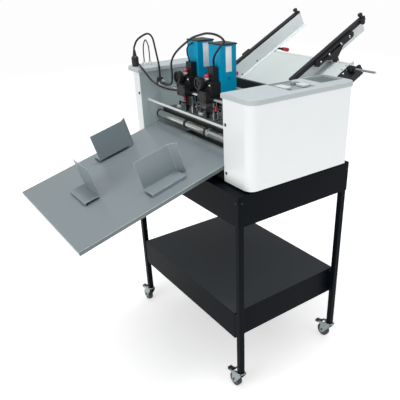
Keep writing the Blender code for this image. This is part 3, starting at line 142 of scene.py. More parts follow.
def surface(name, colour, roughness, metal=0.0, grain=700.0, depth=0.05, mottle=0.06,
            gloss_swing=0.06, stretch=(1, 1, 1), coat=0.0, sheen_level=0.5):
    """A finish in a piece's own coordinates: uneven colour and gloss over a fine grain."""
    made = bpy.data.materials.new(name)
    made.use_nodes = True
    tree = made.node_tree
    shader = tree.nodes["Principled BSDF"]
    set_values(shader, {"Metallic": metal, "Coat Weight": coat,
                        "Specular IOR Level": sheen_level})
    place = tree.nodes.new("ShaderNodeTexCoord")
    turn = tree.nodes.new("ShaderNodeMapping")
    set_values(turn, {"Scale": stretch})
    tree.links.new(place.outputs["Object"], turn.inputs["Vector"])
    cloud = tree.nodes.new("ShaderNodeTexNoise")
    set_values(cloud, {"Scale": 14, "Detail": 4})
    tree.links.new(turn.outputs["Vector"], cloud.inputs["Vector"])
    tone = tree.nodes.new("ShaderNodeMix")
    tone.data_type = "RGBA"
    set_values(tone, {6: [part * (1 - mottle) for part in colour] + [1],
                      7: [min(1, part * (1 + mottle)) for part in colour] + [1]})
    tree.links.new(cloud.outputs["Fac"], tone.inputs["Factor"])
    tree.links.new(tone.outputs[2], shader.inputs["Base Color"])
    fine = tree.nodes.new("ShaderNodeTexNoise")
    set_values(fine, {"Scale": grain, "Detail": 2})
    tree.links.new(turn.outputs["Vector"], fine.inputs["Vector"])
    gloss = tree.nodes.new("ShaderNodeMapRange")
    set_values(gloss, {"To Min": roughness - gloss_swing, "To Max": roughness + gloss_swing})
    tree.links.new(fine.outputs["Fac"], gloss.inputs["Value"])
    tree.links.new(gloss.outputs["Result"], shader.inputs["Roughness"])
    bump = tree.nodes.new("ShaderNodeBump")
    set_values(bump, {"Strength": depth, "Distance": 0.001})
    tree.links.new(fine.outputs["Fac"], bump.inputs["Height"])
    tree.links.new(bump.outputs["Normal"], shader.inputs["Normal"])
    return made


def new_piece(name, mesh, finish):
    piece = bpy.data.objects.new(name, mesh)
    bpy.context.scene.collection.objects.link(piece)
    piece.data.materials.append(finish)
    return piece


def formed_piece(name, form, finish, crisp_from, turn=None):
    """A piece from a formed mesh, smooth up to an angle in degrees, turned into place."""
    mesh = bpy.data.meshes.new(name)
    form.to_mesh(mesh)
    form.free()
    if turn:
        mesh.transform(turn)
    mesh.shade_smooth()
    mesh.set_sharp_from_angle(angle=math.radians(crisp_from))
    return new_piece(name, mesh, finish)


def lead_line(points, spacing):
    """Close points on a smooth curve through the route, straight at its two ends."""
    points = [Vector(point) for point in points]
    line = [points[0]]
    for before, start, end, after in zip(points, points[1:], points[2:], points[3:]):
        steps = max(2, round((end - start).length / spacing))
        for step in range(steps):
            share = step / steps
            line.append(0.5 * (2 * start + (end - before) * share
                               + (2 * before - 5 * start + 4 * end - after) * share ** 2
                               + (3 * start - before - 3 * end + after) * share ** 3))
    return line + [points[-2], points[-1]]


def swept_tube(name, line, radius, finish):
    """A round tube along a line of points, as a mesh with closed ends."""
    curve = bpy.data.curves.new(name, "CURVE")
    curve.dimensions = "3D"
    curve.bevel_depth = radius
    curve.bevel_resolution = 4
    curve.use_fill_caps = True
    spline = curve.splines.new("POLY")
    spline.points.add(len(line) - 1)
    for point, spot in zip(spline.points, line):
        point.co = (*spot, 1)
    draft = bpy.data.objects.new(name + "_line", curve)
    bpy.context.scene.collection.objects.link(draft)
    bpy.context.view_layer.update()
    mesh = bpy.data.meshes.new_from_object(draft.evaluated_get(
        bpy.context.evaluated_depsgraph_get()))
    bpy.data.objects.remove(draft)
    mesh.shade_smooth()
    return new_piece(name, mesh, finish)


lead_rubber = surface("lead_rubber", (0.012, 0.012, 0.013), 0.38, grain=1500, depth=0.04,
                      sheen_level=0.35)
lead_radius = 0.0032
plug_route = [(-0.29425, -0.1142, 1.0546), (-0.29425, -0.1142, 1.061),
              (-0.29275, -0.1022, 1.084), (-0.28825, -0.0832, 1.098),
              (-0.28025, -0.0632, 1.105), (-0.27125, -0.0522, 1.092),
              (-0.26125, -0.0502, 1.06), (-0.25025, -0.0502, 1.027),
              (-0.24075, -0.0512, 1.004), (-0.23875, -0.0512, 0.985),
              (-0.23925, -0.0512, 0.9687), (-0.23925, -0.0512, 0.9623)]
far_route = [(-0.28145, -0.1142, 1.012), (-0.27505, -0.1142, 1.012),
             (-0.26225, -0.1162, 1.0102), (-0.24925, -0.1182, 1.0065),
             (-0.23875, -0.1162, 0.999), (-0.22825, -0.1102, 0.983),
             (-0.21025, -0.0992, 0.961), (-0.18225, -0.0872, 0.9465),
             (-0.14725, -0.0772, 0.9405), (-0.11725, -0.0682, 0.94),
             (-0.09645, -0.0652, 0.942), (-0.09005, -0.0652, 0.942)]
near_route = [(-0.23195, -0.0552, 0.9555), (-0.22555, -0.0552, 0.9555),
              (-0.21225, -0.0652, 0.957), (-0.19625, -0.0772, 0.958),
              (-0.16825, -0.0852, 0.957), (-0.13025, -0.0862, 0.957),
              (-0.09925, -0.0862, 0.969), (-0.09125, -0.0862, 1.0),
              (-0.09225, -0.0862, 1.032), (-0.07325, -0.0862, 1.058),
              (-0.04025, -0.0862, 1.081), (0.00175, -0.0862, 1.103),
              (0.03975, -0.0862, 1.121), (0.07975, -0.0862, 1.132),
              (0.11975, -0.0862, 1.14), (0.16075, -0.0852, 1.14),
              (0.18575, -0.0822, 1.133), (0.18975, -0.0772, 1.122),
              (0.16775, -0.0712, 1.111), (0.13775, -0.0612, 1.096),
              (0.10575, -0.0502, 1.078), (0.07975, -0.0382, 1.06),
              (0.06875, -0.0312, 1.0427), (0.06875, -0.0312, 1.0363)]
jumper_low, jumper_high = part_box("jumper_lead")
jumper_x = (jumper_low.x + jumper_high.x) / 2
jumper_radius = 0.002
jumper_first = jumper_low.y + jumper_radius
jumper_last = jumper_high.y - jumper_radius
jumper_top = jumper_high.z - jumper_radius
jumper_rise = jumper_top - jumper_low.z
jumper_route = [(jumper_x, jumper_first, jumper_low.z),
                (jumper_x, jumper_first, jumper_low.z + jumper_radius * 2),
                (jumper_x, jumper_first, jumper_low.z + jumper_rise * 0.4),
                (jumper_x, jumper_first + jumper_radius, jumper_low.z + jumper_rise * 0.75),
                (jumper_x, (jumper_first + jumper_last) / 2, jumper_top),
                (jumper_x, jumper_last - jumper_radius, jumper_low.z + jumper_rise * 0.75),
                (jumper_x, jumper_last, jumper_low.z + jumper_rise * 0.4),
                (jumper_x, jumper_last, jumper_low.z + jumper_radius * 2),
                (jumper_x, jumper_last, jumper_low.z)]


# A head's lead is held by the machine at one end and by the head at the other; here it is only
# baked in place and joins no body.
lead_lines = {}
for lead_name, lead_node, route, radius, blended in (
        ("plug_to_clip_lead", "plug_lead", plug_route, lead_radius, None),
        ("far_lead", "far_head_lead", far_route, lead_radius, ("far_head", -0.25, -0.12)),
        ("near_lead", "near_head_lead", near_route, lead_radius, ("near_head", -0.19, -0.01)),
        ("socket_jumper", "jumper_lead", jumper_route, jumper_radius, None)):
    line = lead_line(route, radius * 1.2)
    lead_lines[lead_name] = line
    lead = swept_tube(lead_name, line, radius, lead_rubber)
    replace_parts(lead, lead_node)
    if blended:
        head, start, end = blended
        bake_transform(lead)
    else:
        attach(lead, "machine")

# The plug is a moulded black body with grip ribs, a collar at its foot and a tapered
# rubber boot where the lead leaves it. It stands upright on the left cover.


def ring_at(form, radius, height, sides):
    """A round ring of points about the z axis."""
    return [form.verts.new((radius * math.cos(math.tau * step / sides),
                            radius * math.sin(math.tau * step / sides), height))
            for step in range(sides)]


def skin(form, rings):
    """The faces from each ring to the next, with a cap on the first and on the last."""
    for low, high in zip(rings, rings[1:]):
        for step in range(len(low)):
            after = (step + 1) % len(low)
            form.faces.new((low[step], low[after], high[after], high[step]))
    form.faces.new(rings[0][::-1])
    form.faces.new(rings[-1])
    bmesh.ops.recalc_face_normals(form, faces=form.faces)


def standing(spot, axis):
    """The move that stands a form on the spot, with its z along the axis."""
    turn = Vector((0, 0, 1)).rotation_difference(Vector(axis)).to_matrix().to_4x4()
    return Matrix.Translation(spot) @ turn


def turned(name, profile, finish, spot, axis=(0, 0, 1), sides=48):
    """A turned piece: (radius, height) pairs along the axis from the spot, capped."""
    form = bmesh.new()
    skin(form, [ring_at(form, radius, height, sides) for radius, height in profile])
    return formed_piece(name, form, finish, 32, standing(spot, axis))


plug_low, plug_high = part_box("lead_plug")
plug_middle = (plug_low + plug_high) / 2
plug_radius = (plug_high.x - plug_low.x) / 2
plug_top = plug_high.z
plug_foot = plug_low.z
plug_black = surface("plug_black", (0.015, 0.015, 0.016), 0.5, grain=1800, depth=0.08)
plug_height = (plug_top - plug_foot) * 0.62
plug_steps = [(plug_radius * 0.82, 0), (plug_radius * 0.82, plug_height * 0.12)]
for rib in range(5):
    low = plug_height * (0.16 + 0.15 * rib)
    plug_steps += [(plug_radius * 0.93, low), (plug_radius, low + plug_height * 0.02),
                   (plug_radius, low + plug_height * 0.09),
                   (plug_radius * 0.93, low + plug_height * 0.11)]
plug_steps += [(plug_radius * 0.9, plug_height * 0.94), (plug_radius * 0.7, plug_height)]
boot_rise = plug_top - plug_foot - plug_height
for rib in range(4):
    low = plug_height + boot_rise * (0.08 + 0.22 * rib)
    width = plug_radius * (0.56 - 0.06 * rib)
    plug_steps += [(width, low), (width, low + boot_rise * 0.12),
                   (width * 0.86, low + boot_rise * 0.14), (width * 0.86, low + boot_rise * 0.2)]
plug_steps.append((lead_radius * 1.15, plug_top - plug_foot))
plug = turned("socket_plug", plug_steps, plug_black, (plug_middle.x, plug_middle.y, plug_foot))
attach(plug, "machine")
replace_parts(plug, "lead_plug")

for lead_name, line in lead_lines.items():
    radius = jumper_radius if lead_name == "socket_jumper" else lead_radius

# ---------------------------------------------------------------- Stand
# Four square steel tubes are welded to a folded shelf, and a deep folded tray sits over
# their tops. Both are powder coated satin black, so the folds are slightly rounded and
# the surface has a fine orange peel.
powder_black = (0.0036, 0.0052, 0.0078)
stand_black = surface("stand_powder_coat", powder_black, 0.42, grain=1100, depth=0.10,
                      mottle=0.12, gloss_swing=0.05, sheen_level=0.04)


def painted_top_light(finish, colour, from_tilt=0.7):
    """Another colour on the faces that look up: a painted top light, lighter upward faces that
    stand in for the light they catch.
    """
    tree = finish.node_tree
    faces = tree.nodes.new("ShaderNodeNewGeometry")
    upward = tree.nodes.new("ShaderNodeSeparateXYZ")
    share = tree.nodes.new("ShaderNodeMapRange")
    set_values(share, {"From Min": from_tilt, "From Max": from_tilt + 0.2})
    lit_top = tree.nodes.new("ShaderNodeMix")
    lit_top.data_type = "RGBA"
    set_values(lit_top, {7: (*colour, 1)})
    coated = tree.nodes["Principled BSDF"].inputs["Base Color"]
    tree.links.new(coated.links[0].from_socket, lit_top.inputs[6])
    tree.links.new(faces.outputs["Normal"], upward.inputs["Vector"])
    tree.links.new(upward.outputs["Z"], share.inputs["Value"])
    tree.links.new(share.outputs["Result"], lit_top.inputs["Factor"])
    tree.links.new(lit_top.outputs[2], coated)


# The shelf's faces that look up are painted lighter: a painted highlight for the light and
# reflection the shelf top catches.
shelf_black = surface("shelf_powder_coat", powder_black, 0.42, grain=1100, depth=0.10,
                      mottle=0.12, gloss_swing=0.05, sheen_level=0.04)
painted_top_light(shelf_black, (0.078, 0.086, 0.094))


def rounded_node(name, finish, edge, segments=2, edge_highlight=None):
    """The solid with its own finish, and its folded or cut edges slightly rounded. A given edge
    highlight finish is laid on the rounded edges as a lighter painted highlight.
    """
    node = nodes[name]
    node.data.materials.clear()
    node.data.materials.append(finish)
    if edge_highlight:
        node.data.materials.append(edge_highlight)
    node.data.shade_smooth()
    weld = node.modifiers.new("weld", "WELD")
    weld.merge_threshold = 0.00001
    flat = node.modifiers.new("flat_faces", "DECIMATE")
    flat.decimate_type = "DISSOLVE"
    flat.angle_limit = math.radians(0.4)
    bevel = node.modifiers.new("rounded_edges", "BEVEL")
    bevel.width = edge
    bevel.segments = segments
    bevel.limit_method = "ANGLE"
    bevel.angle_limit = math.radians(33)
    bevel.use_clamp_overlap = True
    bevel.material = 1 if edge_highlight else -1
    normals = node.modifiers.new("even_normals", "WEIGHTED_NORMAL")
    normals.keep_sharp = True
    return node


rounded_node("stand_frame", shelf_black, 0.0009, 3)
rounded_node("stand_top", stand_black, 0.0009, 3)

# Button-head socket screws, zinc black on the stand, hold its tray and close its legs.
screw_black = surface("blackened_screw", (0.03, 0.03, 0.032), 0.32, metal=0.8, grain=900,
                      depth=0.03)


def button_screw(name, spot, way, finish, body, radius=0.0038, height=0.0026):
    """A domed head with a hexagon socket, its underside on the sheet at the spot."""
    form = bmesh.new()
    sides = 24
    dome = ((1, 0), (1, 0.25), (0.93, 0.55), (0.78, 0.82), (0.56, 0.98))
    rings = [ring_at(form, wide * radius, high * height, sides) for wide, high in dome]
    socket_radius = 0.42 * radius
    for high in (0.98, 0.30):
        ring = []
        for n in range(sides):
            angle = math.tau * n / sides
            flat = math.cos(math.pi / 6) / math.cos(angle % (math.pi / 3) - math.pi / 6)
            ring.append(form.verts.new((socket_radius * flat * math.cos(angle),
                                        socket_radius * flat * math.sin(angle),
                                        high * height)))
        rings.append(ring)
    skin(form, rings)
    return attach(formed_piece(name, form, finish, 30, standing(spot, way)), body)


top_low, top_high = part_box("stand_top")
frame_low, frame_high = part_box("stand_frame")
middle_x = (top_low.x + top_high.x) / 2
middle_y = (top_low.y + top_high.y) / 2
leg_half = 0.0095
leg_x = (frame_high.x - frame_low.x) / 2 - leg_half
leg_y = 0.2162
head_height = 0.0022
leg_screw_z = frame_low.z + 0.024
reach_x = (top_high.x - top_low.x) / 2 - head_height
reach_y = (top_high.y - top_low.y) / 2 - head_height
top_screw_z = top_high.z - 0.0207
for side_x in (-1, 1):
    for side_y in (-1, 1):
        corner = ("right" if side_x > 0 else "left") + ("_rear" if side_y > 0 else "_front")
        x, y = middle_x + side_x * leg_x, middle_y + side_y * leg_y
        button_screw("top_screw_y_" + corner, (x, middle_y + side_y * reach_y, top_screw_z),
                     (0, side_y, 0), screw_black, "machine")
        button_screw("top_screw_x_" + corner, (middle_x + side_x * reach_x, y, top_screw_z),
                     (side_x, 0, 0), screw_black, "machine")
        button_screw("leg_screw_" + corner, (x, middle_y + side_y * (leg_y + leg_half),
                     leg_screw_z), (0, side_y, 0), screw_black, "machine")

# ---------------------------------------------------------------- Casters
# Bought swivel casters: a turned crown and stem with two pressed cheeks, all zinc plated,
# a dark rubber tyre on a plastic hub, a bolted axle and a black brake pedal on its pin.
zinc = surface("bright_zinc", (0.30, 0.345, 0.35), 0.28, metal=1.0, grain=260, depth=0.04,
               mottle=0.05)
tyre_grey = surface("tyre_rubber", (0.022, 0.026, 0.028), 0.55, grain=900, depth=0.12)
hub_grey = surface("hub_plastic", (0.13, 0.14, 0.145), 0.45, grain=800, depth=0.05)
pedal_black = surface("pedal_plastic", (0.018, 0.018, 0.019), 0.42, grain=1300, depth=0.08)
tyre_steps = [(0.0158, -0.0060), (0.0160, -0.0084), (0.0215, -0.0092), (0.0238, -0.0080),
              (0.0249, -0.0050), (0.0250, 0), (0.0249, 0.0050), (0.0238, 0.0080),
              (0.0215, 0.0092), (0.0160, 0.0084), (0.0158, 0.0060)]
hub_steps = [(0.0060, -0.0094), (0.0080, -0.0094), (0.0086, -0.0074), (0.0140, -0.0068),
             (0.0152, -0.0088), (0.0162, -0.0088), (0.0162, 0.0088), (0.0152, 0.0088),
             (0.0140, 0.0068), (0.0086, 0.0074), (0.0080, 0.0094), (0.0060, 0.0094)]
crown_steps = [(0.0128, 0.0697), (0.0142, 0.0704), (0.0142, 0.0736), (0.0134, 0.0747),
               (0.0050, 0.0747), (0.0050, 0.0980)]
nut_steps = [(0.0046, 0), (0.0050, 0.0006), (0.0050, 0.0026), (0.0044, 0.0032)]
caster_trail, cheek_reach, cheek_sheet = 0.028, 0.0134, 0.0020
brake_arm, brake_height, pedal_half = 0.013, 0.0565, 0.0085
pin_radius, pin_reach = 0.0020, 0.0138
pedal_side = [(-0.0105, 0.0592), (-0.0105, 0.0538), (-0.0180, 0.0500), (-0.0290, 0.0440),
              (-0.0385, 0.0432), (-0.0390, 0.0452), (-0.0320, 0.0466), (-0.0320, 0.0484),
              (-0.0390, 0.0500), (-0.0385, 0.0524), (-0.0290, 0.0524), (-0.0165, 0.0592)]
cheek_side = [(0.0412, 0.0722), (0.0412, 0.0660), (0.0300, 0.0480), (0.0092, 0.0205),
              (0.0062, 0.0170), (0.0020, 0.0153), (-0.0025, 0.0156), (-0.0062, 0.0180),
              (-0.0078, 0.0215), (-0.0070, 0.0300), (-0.0052, 0.0520), (-0.0165, 0.0520),
              (-0.0170, 0.0590), (-0.0120, 0.0612), (0.0148, 0.0722)]


def caster_plate(name, side, start_x, inner_y, outer_y, finish):
    """A cheek or a pedal from its side outline, with its rim slightly rounded."""
    form = bmesh.new()
    corners = [form.verts.new((start_x + x, inner_y, z)) for x, z in side]
    bmesh.ops.recalc_face_normals(form, faces=[form.faces.new(corners)])
    grown = bmesh.ops.extrude_face_region(form, geom=form.faces[:])
    for vert in grown["geom"]:
        if isinstance(vert, bmesh.types.BMVert):
            vert.co.y = outer_y
    bmesh.ops.recalc_face_normals(form, faces=form.faces)
    rim = [edge for edge in form.edges if abs(edge.verts[0].co.y - edge.verts[1].co.y) < 1e-6]
    bmesh.ops.bevel(form, geom=rim, offset=0.0004, segments=2, profile=0.5, affect="EDGES")
    return formed_piece(name, form, finish, 40)


for corner in ("front_right", "front_left", "rear_right", "rear_left"):
    low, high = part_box(corner + "_caster_wheel")
    hub = (low + high) / 2
    tyre = turned(corner + "_tyre", tyre_steps, tyre_grey, hub, (0, 1, 0), 64)
    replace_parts(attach(tyre, corner + "_roll"), corner + "_caster_wheel")
    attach(turned(corner + "_hub", hub_steps, hub_grey, hub, (0, 1, 0), 40), corner + "_roll")
    pedal = caster_plate(corner + "_pedal", pedal_side, hub.x, hub.y - pedal_half,
                         hub.y + pedal_half, pedal_black)
    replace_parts(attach(pedal, corner + "_pedal"), corner + "_caster_brake")
    fork_low, fork_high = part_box(corner + "_caster_fork")
    fork = turned(corner + "_fork", crown_steps, zinc, (hub.x + caster_trail, hub.y, 0),
                  sides=40)
    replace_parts(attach(fork, corner + "_swivel"), corner + "_caster_fork")
    for way in (-1, 1):
        outside = hub.y + way * cheek_reach
        cheek = caster_plate(f"{corner}_cheek_{'far' if way > 0 else 'near'}", cheek_side,
                             hub.x, outside - way * cheek_sheet, outside, zinc)
        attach(cheek, corner + "_swivel")
    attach(turned(corner + "_brake_pin", [(pin_radius, 0), (pin_radius, 2 * pin_reach)], zinc,
                   (hub.x - brake_arm, hub.y - pin_reach, brake_height), (0, 1, 0), 16),
            corner + "_swivel")
    for way in (-1, 1):
        face = fork_high.y if way > 0 else fork_low.y
        nut = turned(corner + ("_nut" if way > 0 else "_bolt_head"), nut_steps, zinc,
                     (hub.x, face - way * nut_steps[-1][1], hub.z), (0, way, 0), 6)
        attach(nut, corner + "_swivel")

# ---------------------------------------------------------------- Housings
# Folded sheet steel shells, painted smooth white, close the machine at both ends. Each
# is screwed to its pale inner side frame through the front and rear edges.
shell_white = surface("white_paint", (0.845, 0.872, 0.875), 0.30, grain=420, depth=0.05,
                      mottle=0.015, gloss_swing=0.04, coat=0.25)
frame_paint = surface("side_frame_paint", (0.50, 0.59, 0.60), 0.42, grain=700, depth=0.08,
                      mottle=0.05)
pan_black = surface("pan_powder_coat", (0.012, 0.013, 0.015), 0.5, grain=900, depth=0.1,
                    sheen_level=0.2)
rounded_node("base_pan", pan_black, 0.0007)
screw_inset = 0.0105
for side, way in (("right", 1), ("left", -1)):
    rounded_node(side + "_housing", shell_white, 0.0010, 3)
    rounded_node(side + "_side_frame", frame_paint, 0.0007)
    low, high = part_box(side + "_housing")
    screw_x = (low.x if way > 0 else high.x) + way * screw_inset
    for level, rise in (("low", 0.028), ("high", 0.173)):
        for end, face, aim in (("front", low.y + head_height, -1),
                               ("rear", high.y - head_height, 1)):
            button_screw(f"{side}_housing_screw_{end}_{level}", (screw_x, face, low.z + rise),
                         (0, aim, 0), screw_black, "machine", 0.0048, 0.0028)

# ---------------------------------------------------------------- Covers and controls
# Thick moulded covers in pale grey, with a fine texture and a bevelled rim, lie on the
# housings. The right one has a sunken key field and a sunken rest, the left one sockets.
cover_grey = surface("cover_plastic", (0.485, 0.527, 0.541), 0.46, grain=1600, depth=0.12,
                     mottle=0.03)
# The covers' upward faces are painted a little lighter and bluer than their sides: painted light
# and shade.
painted_top_light(cover_grey, (0.490, 0.550, 0.566), 0.5)
field_grey = surface("key_field_film", (0.30, 0.345, 0.36), 0.30, grain=500, depth=0.03,
                     mottle=0.03)
rest_grey = surface("rest_mat", (0.135, 0.160, 0.166), 0.34, grain=1400, depth=0.05)
# The rim's lighter grey is a painted highlight on the covers' rounded edges.
cover_rim_highlight = surface("cover_rim_highlight", (0.57, 0.615, 0.63), 0.34, grain=1600, depth=0.06,
                    mottle=0.03)
for name in ("right_cover", "left_cover"):
    rounded_node(name, cover_grey, 0.0018, 3, cover_rim_highlight)


def block(name, low, high, edge, finish, turn=None, segments=3):
    """A block between two corners with all its edges rounded, turned if a matrix is given."""
    low, high = Vector(low), Vector(high)
    form = bmesh.new()
    bmesh.ops.create_cube(form, size=1)
    for vert in form.verts:
        vert.co = (low + high) / 2 + Vector(a * b for a, b in zip(vert.co, high - low))
    bmesh.ops.bevel(form, geom=form.edges[:], offset=edge, segments=segments, profile=0.5,
                    affect="EDGES")
    return formed_piece(name, form, finish, 35, turn)


cover_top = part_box("right_cover")[1].z
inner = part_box("right_housing")[0].x
field_floor = cover_top - 0.0045
rest_floor = cover_top - 0.0070
film_thickness, mat_thickness = 0.0002, 0.0015
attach(block("key_field_film", (inner + 0.0045, 0.0338, field_floor),
              (inner + 0.1070, 0.1298, field_floor + film_thickness), 0.00005, field_grey),
        "machine")
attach(block("rest_mat", (inner + 0.0080, 0.1748, rest_floor),
              (inner + 0.0860, 0.2668, rest_floor + mat_thickness), 0.0006, rest_grey),
        "machine")

# White moulded sleeves stand round the left cover's two sockets.
sleeve_white = surface("socket_sleeve_plastic", (0.80, 0.81, 0.80), 0.4, grain=900, depth=0.03)
sleeve_steps = [(0.0062, 0.0002), (0.0068, 0.0010), (0.0068, 0.0060), (0.0063, 0.0066),
                (0.0063, 0.0116), (0.0056, 0.0121), (0.0030, 0.0121)]
for number, socket_y in enumerate((jumper_first, jumper_last)):
    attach(turned(f"socket_sleeve_{number}", sleeve_steps, sleeve_white,
                   (jumper_x, socket_y, cover_top), sides=32), "machine")

# Two white keys and a mid-grey fluted knob stand in the key field. The knob has a white
# pointer line on its top.
key_white = surface("key_plastic", (0.70, 0.72, 0.73), 0.33, grain=900, depth=0.03, mottle=0.02)
dial_grey = surface("dial_plastic", (0.31, 0.33, 0.34), 0.30, grain=1200, depth=0.04)
knob_black = surface("knob_plastic", (0.010, 0.010, 0.011), 0.38, grain=1200, depth=0.06,
                     sheen_level=0.35)
for name in ("start_key", "stop_key"):
    rounded_node(name, key_white, 0.0003)


def fluted(name, radius, depth, height, flutes, finish, spot, axis, chamfer=0.001,
           hollow=0.0, hollow_depth=0.0):
    """A fluted wheel: its rim waves between two radii, with chamfers and a hollow top."""
    sides = flutes * 6
    form = bmesh.new()
    rings = []
    edge = 1 - chamfer / radius
    for share, high in ((edge, 0), (1, chamfer), (1, height - chamfer), (edge, height)):
        ring = []
        for n in range(sides):
            angle = math.tau * n / sides
            wave = abs(math.sin(angle * flutes / 2)) ** 0.6
            reach = (radius - depth * (1 - wave)) * share
            ring.append(form.verts.new((reach * math.cos(angle), reach * math.sin(angle), high)))
        rings.append(ring)
    if hollow:
        rings += [ring_at(form, hollow, height, sides),
                  ring_at(form, hollow * 0.94, height - hollow_depth, sides)]
    skin(form, rings)
    return formed_piece(name, form, finish, 38, standing(spot, axis))


low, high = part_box("speed_knob")
knob_spot = ((low.x + high.x) / 2, (low.y + high.y) / 2, low.z)
knob = fluted("speed_dial", (high.x - low.x) / 2, 0.0007, high.z - low.z, 16, dial_grey,
              knob_spot, (0, 0, 1), 0.0008)
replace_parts(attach(knob, "speed_knob_body"), "speed_knob")
pointer_half, pointer_length, pointer_rise = 0.0005, 0.0072, 0.0002
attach(block("speed_pointer",
              (knob_spot[0] - pointer_half, knob_spot[1], high.z - pointer_rise),
              (knob_spot[0] + pointer_half, knob_spot[1] + pointer_length,
               high.z + pointer_rise), 0.0001, key_white), "speed_knob_body")

# ---------------------------------------------------------------- Rods and rollers
# Ground and hardened steel, chromed on the rail. The exit roller carries two rubber
# rings and a clamp collar, the anvil and the perforating shaft lie behind it.
chrome = surface("chromed_rod", (0.66, 0.67, 0.68), 0.12, metal=1.0, grain=160, depth=0.01,
                 mottle=0.03, gloss_swing=0.04, stretch=(1, 30, 30))
ground_steel = surface("ground_steel", (0.46, 0.46, 0.46), 0.26, metal=1.0, grain=160,
                       depth=0.03, mottle=0.08, stretch=(12, 1, 1))
mirror_steel = surface("polished_roller_steel", (0.74, 0.74, 0.72), 0.16, metal=1.0,
                       grain=160, depth=0.02, mottle=0.05, gloss_swing=0.03,
                       stretch=(12, 1, 1))
sheet_steel = surface("bed_sheet_steel", (0.15, 0.155, 0.145), 0.30, metal=0.9, grain=120,
                      depth=0.05, mottle=0.14, stretch=(1, 9, 9))
drawn_steel = surface("drawn_steel_bar", (0.86, 0.86, 0.85), 0.36, metal=0.4, grain=160,
                      depth=0.02, mottle=0.05, stretch=(1, 30, 30))
ring_rubber = surface("ring_rubber", (0.02, 0.02, 0.021), 0.7, grain=1300, depth=0.2)
part_black = surface("black_paint", (0.011, 0.011, 0.012), 0.36, grain=900, depth=0.08,
                     mottle=0.1, sheen_level=0.3)


def rod_between(name, start, end, radius, finish, body, chamfer=0.0006, sides=40):
    """A round bar with a small chamfer at both ends."""
    start, end = Vector(start), Vector(end)
    length = (end - start).length
    bar = turned(name, [(radius - chamfer, 0), (radius, chamfer), (radius, length - chamfer),
                        (radius - chamfer, length)], finish, start, end - start, sides)
    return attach(bar, body)


rail_y, rail_z = -0.0512, 0.944


def whole_rod(name, node, radius, finish, body="machine", middle=None, chamfer=0.0006):
    """A round bar that takes the place of a node's solid, from end to end."""
    low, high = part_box(node)
    y, z = middle or ((low.y + high.y) / 2, (low.z + high.z) / 2)
    bar = rod_between(name, (low.x, y, z), (high.x, y, z), radius, finish, body, chamfer)
    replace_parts(bar, node)


whole_rod("chromed_head_rail", "head_rail", 0.0065, chrome, middle=(rail_y, rail_z))
whole_rod("front_tie", "front_tie_rod", 0.004, drawn_steel)

# A black moulded clip on the rail's left end holds the leads, beside a pale nylon collar.
nylon = surface("nylon", (0.74, 0.74, 0.72), 0.5, grain=700, depth=0.05, mottle=0.04)
clip_half = 0.0092
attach(block("lead_clip", (-0.2478, rail_y - clip_half, rail_z - clip_half),
              (-0.2320, rail_y + clip_half, 0.9618), 0.0015, plug_black), "machine")
rod_between("rail_collar", (-0.2315, rail_y, rail_z), (-0.2265, rail_y, rail_z), 0.0125,
            nylon, "machine", 0.0012)

low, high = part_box("exit_roller")
roller_y, roller_z = -0.0542, 0.8320
left_inner, right_inner = -0.26125, 0.23675


def on_exit_roller(name, start_x, end_x, radius, finish, chamfer=0.0006, sides=48):
    """A bar, ring or collar on the exit roller's axis, which turns with it."""
    return rod_between(name, (start_x, roller_y, roller_z), (end_x, roller_y, roller_z),
                       radius, finish, "exit_roller_body", chamfer, sides)


roller = on_exit_roller("exit_roller_tube", left_inner + 0.0015, right_inner - 0.0015, 0.0120,
                        mirror_steel, 0.0010)
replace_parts(roller, "exit_roller")
on_exit_roller("exit_roller_shaft", low.x, high.x, 0.0040, ground_steel, sides=40)
for number, start in enumerate((-0.0752, 0.0467)):
    on_exit_roller(f"exit_ring_{number}", start, start + 0.0125, 0.0141, ring_rubber, 0.0018)
on_exit_roller("exit_collar", 0.0603, 0.0693, 0.0150, mirror_steel, 0.0008)
on_exit_roller("exit_end_ring", left_inner + 0.0030, left_inner + 0.0110, 0.0138, ring_rubber,
               0.0012)
for name, finish in (("anvil_roller", ground_steel), ("perforating_shaft", ground_steel),
                     ("bed_plate", sheet_steel), ("feed_roller", ring_rubber),
                     ("drive_belt", ring_rubber), ("drive_motor", part_black)):
    rounded_node(name, finish, 0.0003, 1)

# ---------------------------------------------------------------- Feed table and guides
# A sloping sheet table in pale grey-green paint carries two angle guides. Each guide
# hangs from a black bar, which is bolted to an arm on the cross shaft behind the table.
table_paint = surface("table_paint", (0.595, 0.655, 0.648), 0.40, grain=800, depth=0.10,
                      mottle=0.03)
guide_paint = surface("guide_paint", (0.70, 0.75, 0.755), 0.36, grain=800, depth=0.06,
                      mottle=0.04)
bar_black = surface("guide_bar_paint", (0.013, 0.015, 0.017), 0.38, grain=900, depth=0.08,
                    mottle=0.10, sheen_level=0.28)
rounded_node("feed_table", table_paint, 0.0008)
rounded_node("feed_bar", bar_black, 0.0010)
for side in ("left", "right"):
    rounded_node(side + "_guide", guide_paint, 0.0005)
    rounded_node(side + "_guide_rail", bar_black, 0.0008)
whole_rod("cross_shaft", "guide_cross_shaft", 0.005, drawn_steel)

# The feed plane leans 27.5 degrees. Places on it are given as x, the way up the slope
# from its foot at the bed, and the height above it.
slope = math.radians(27.5)
feed_along = Vector((0, math.cos(slope), math.sin(slope)))
feed_up = Vector((0, -math.sin(slope), math.cos(slope)))
feed_foot = Vector((0, 0.1068, 0.850))
feed_middle_x = 0.01775


def on_feed(x, along, above):
    return Vector((x + feed_middle_x, 0, 0)) + feed_foot + feed_along * along + feed_up * above


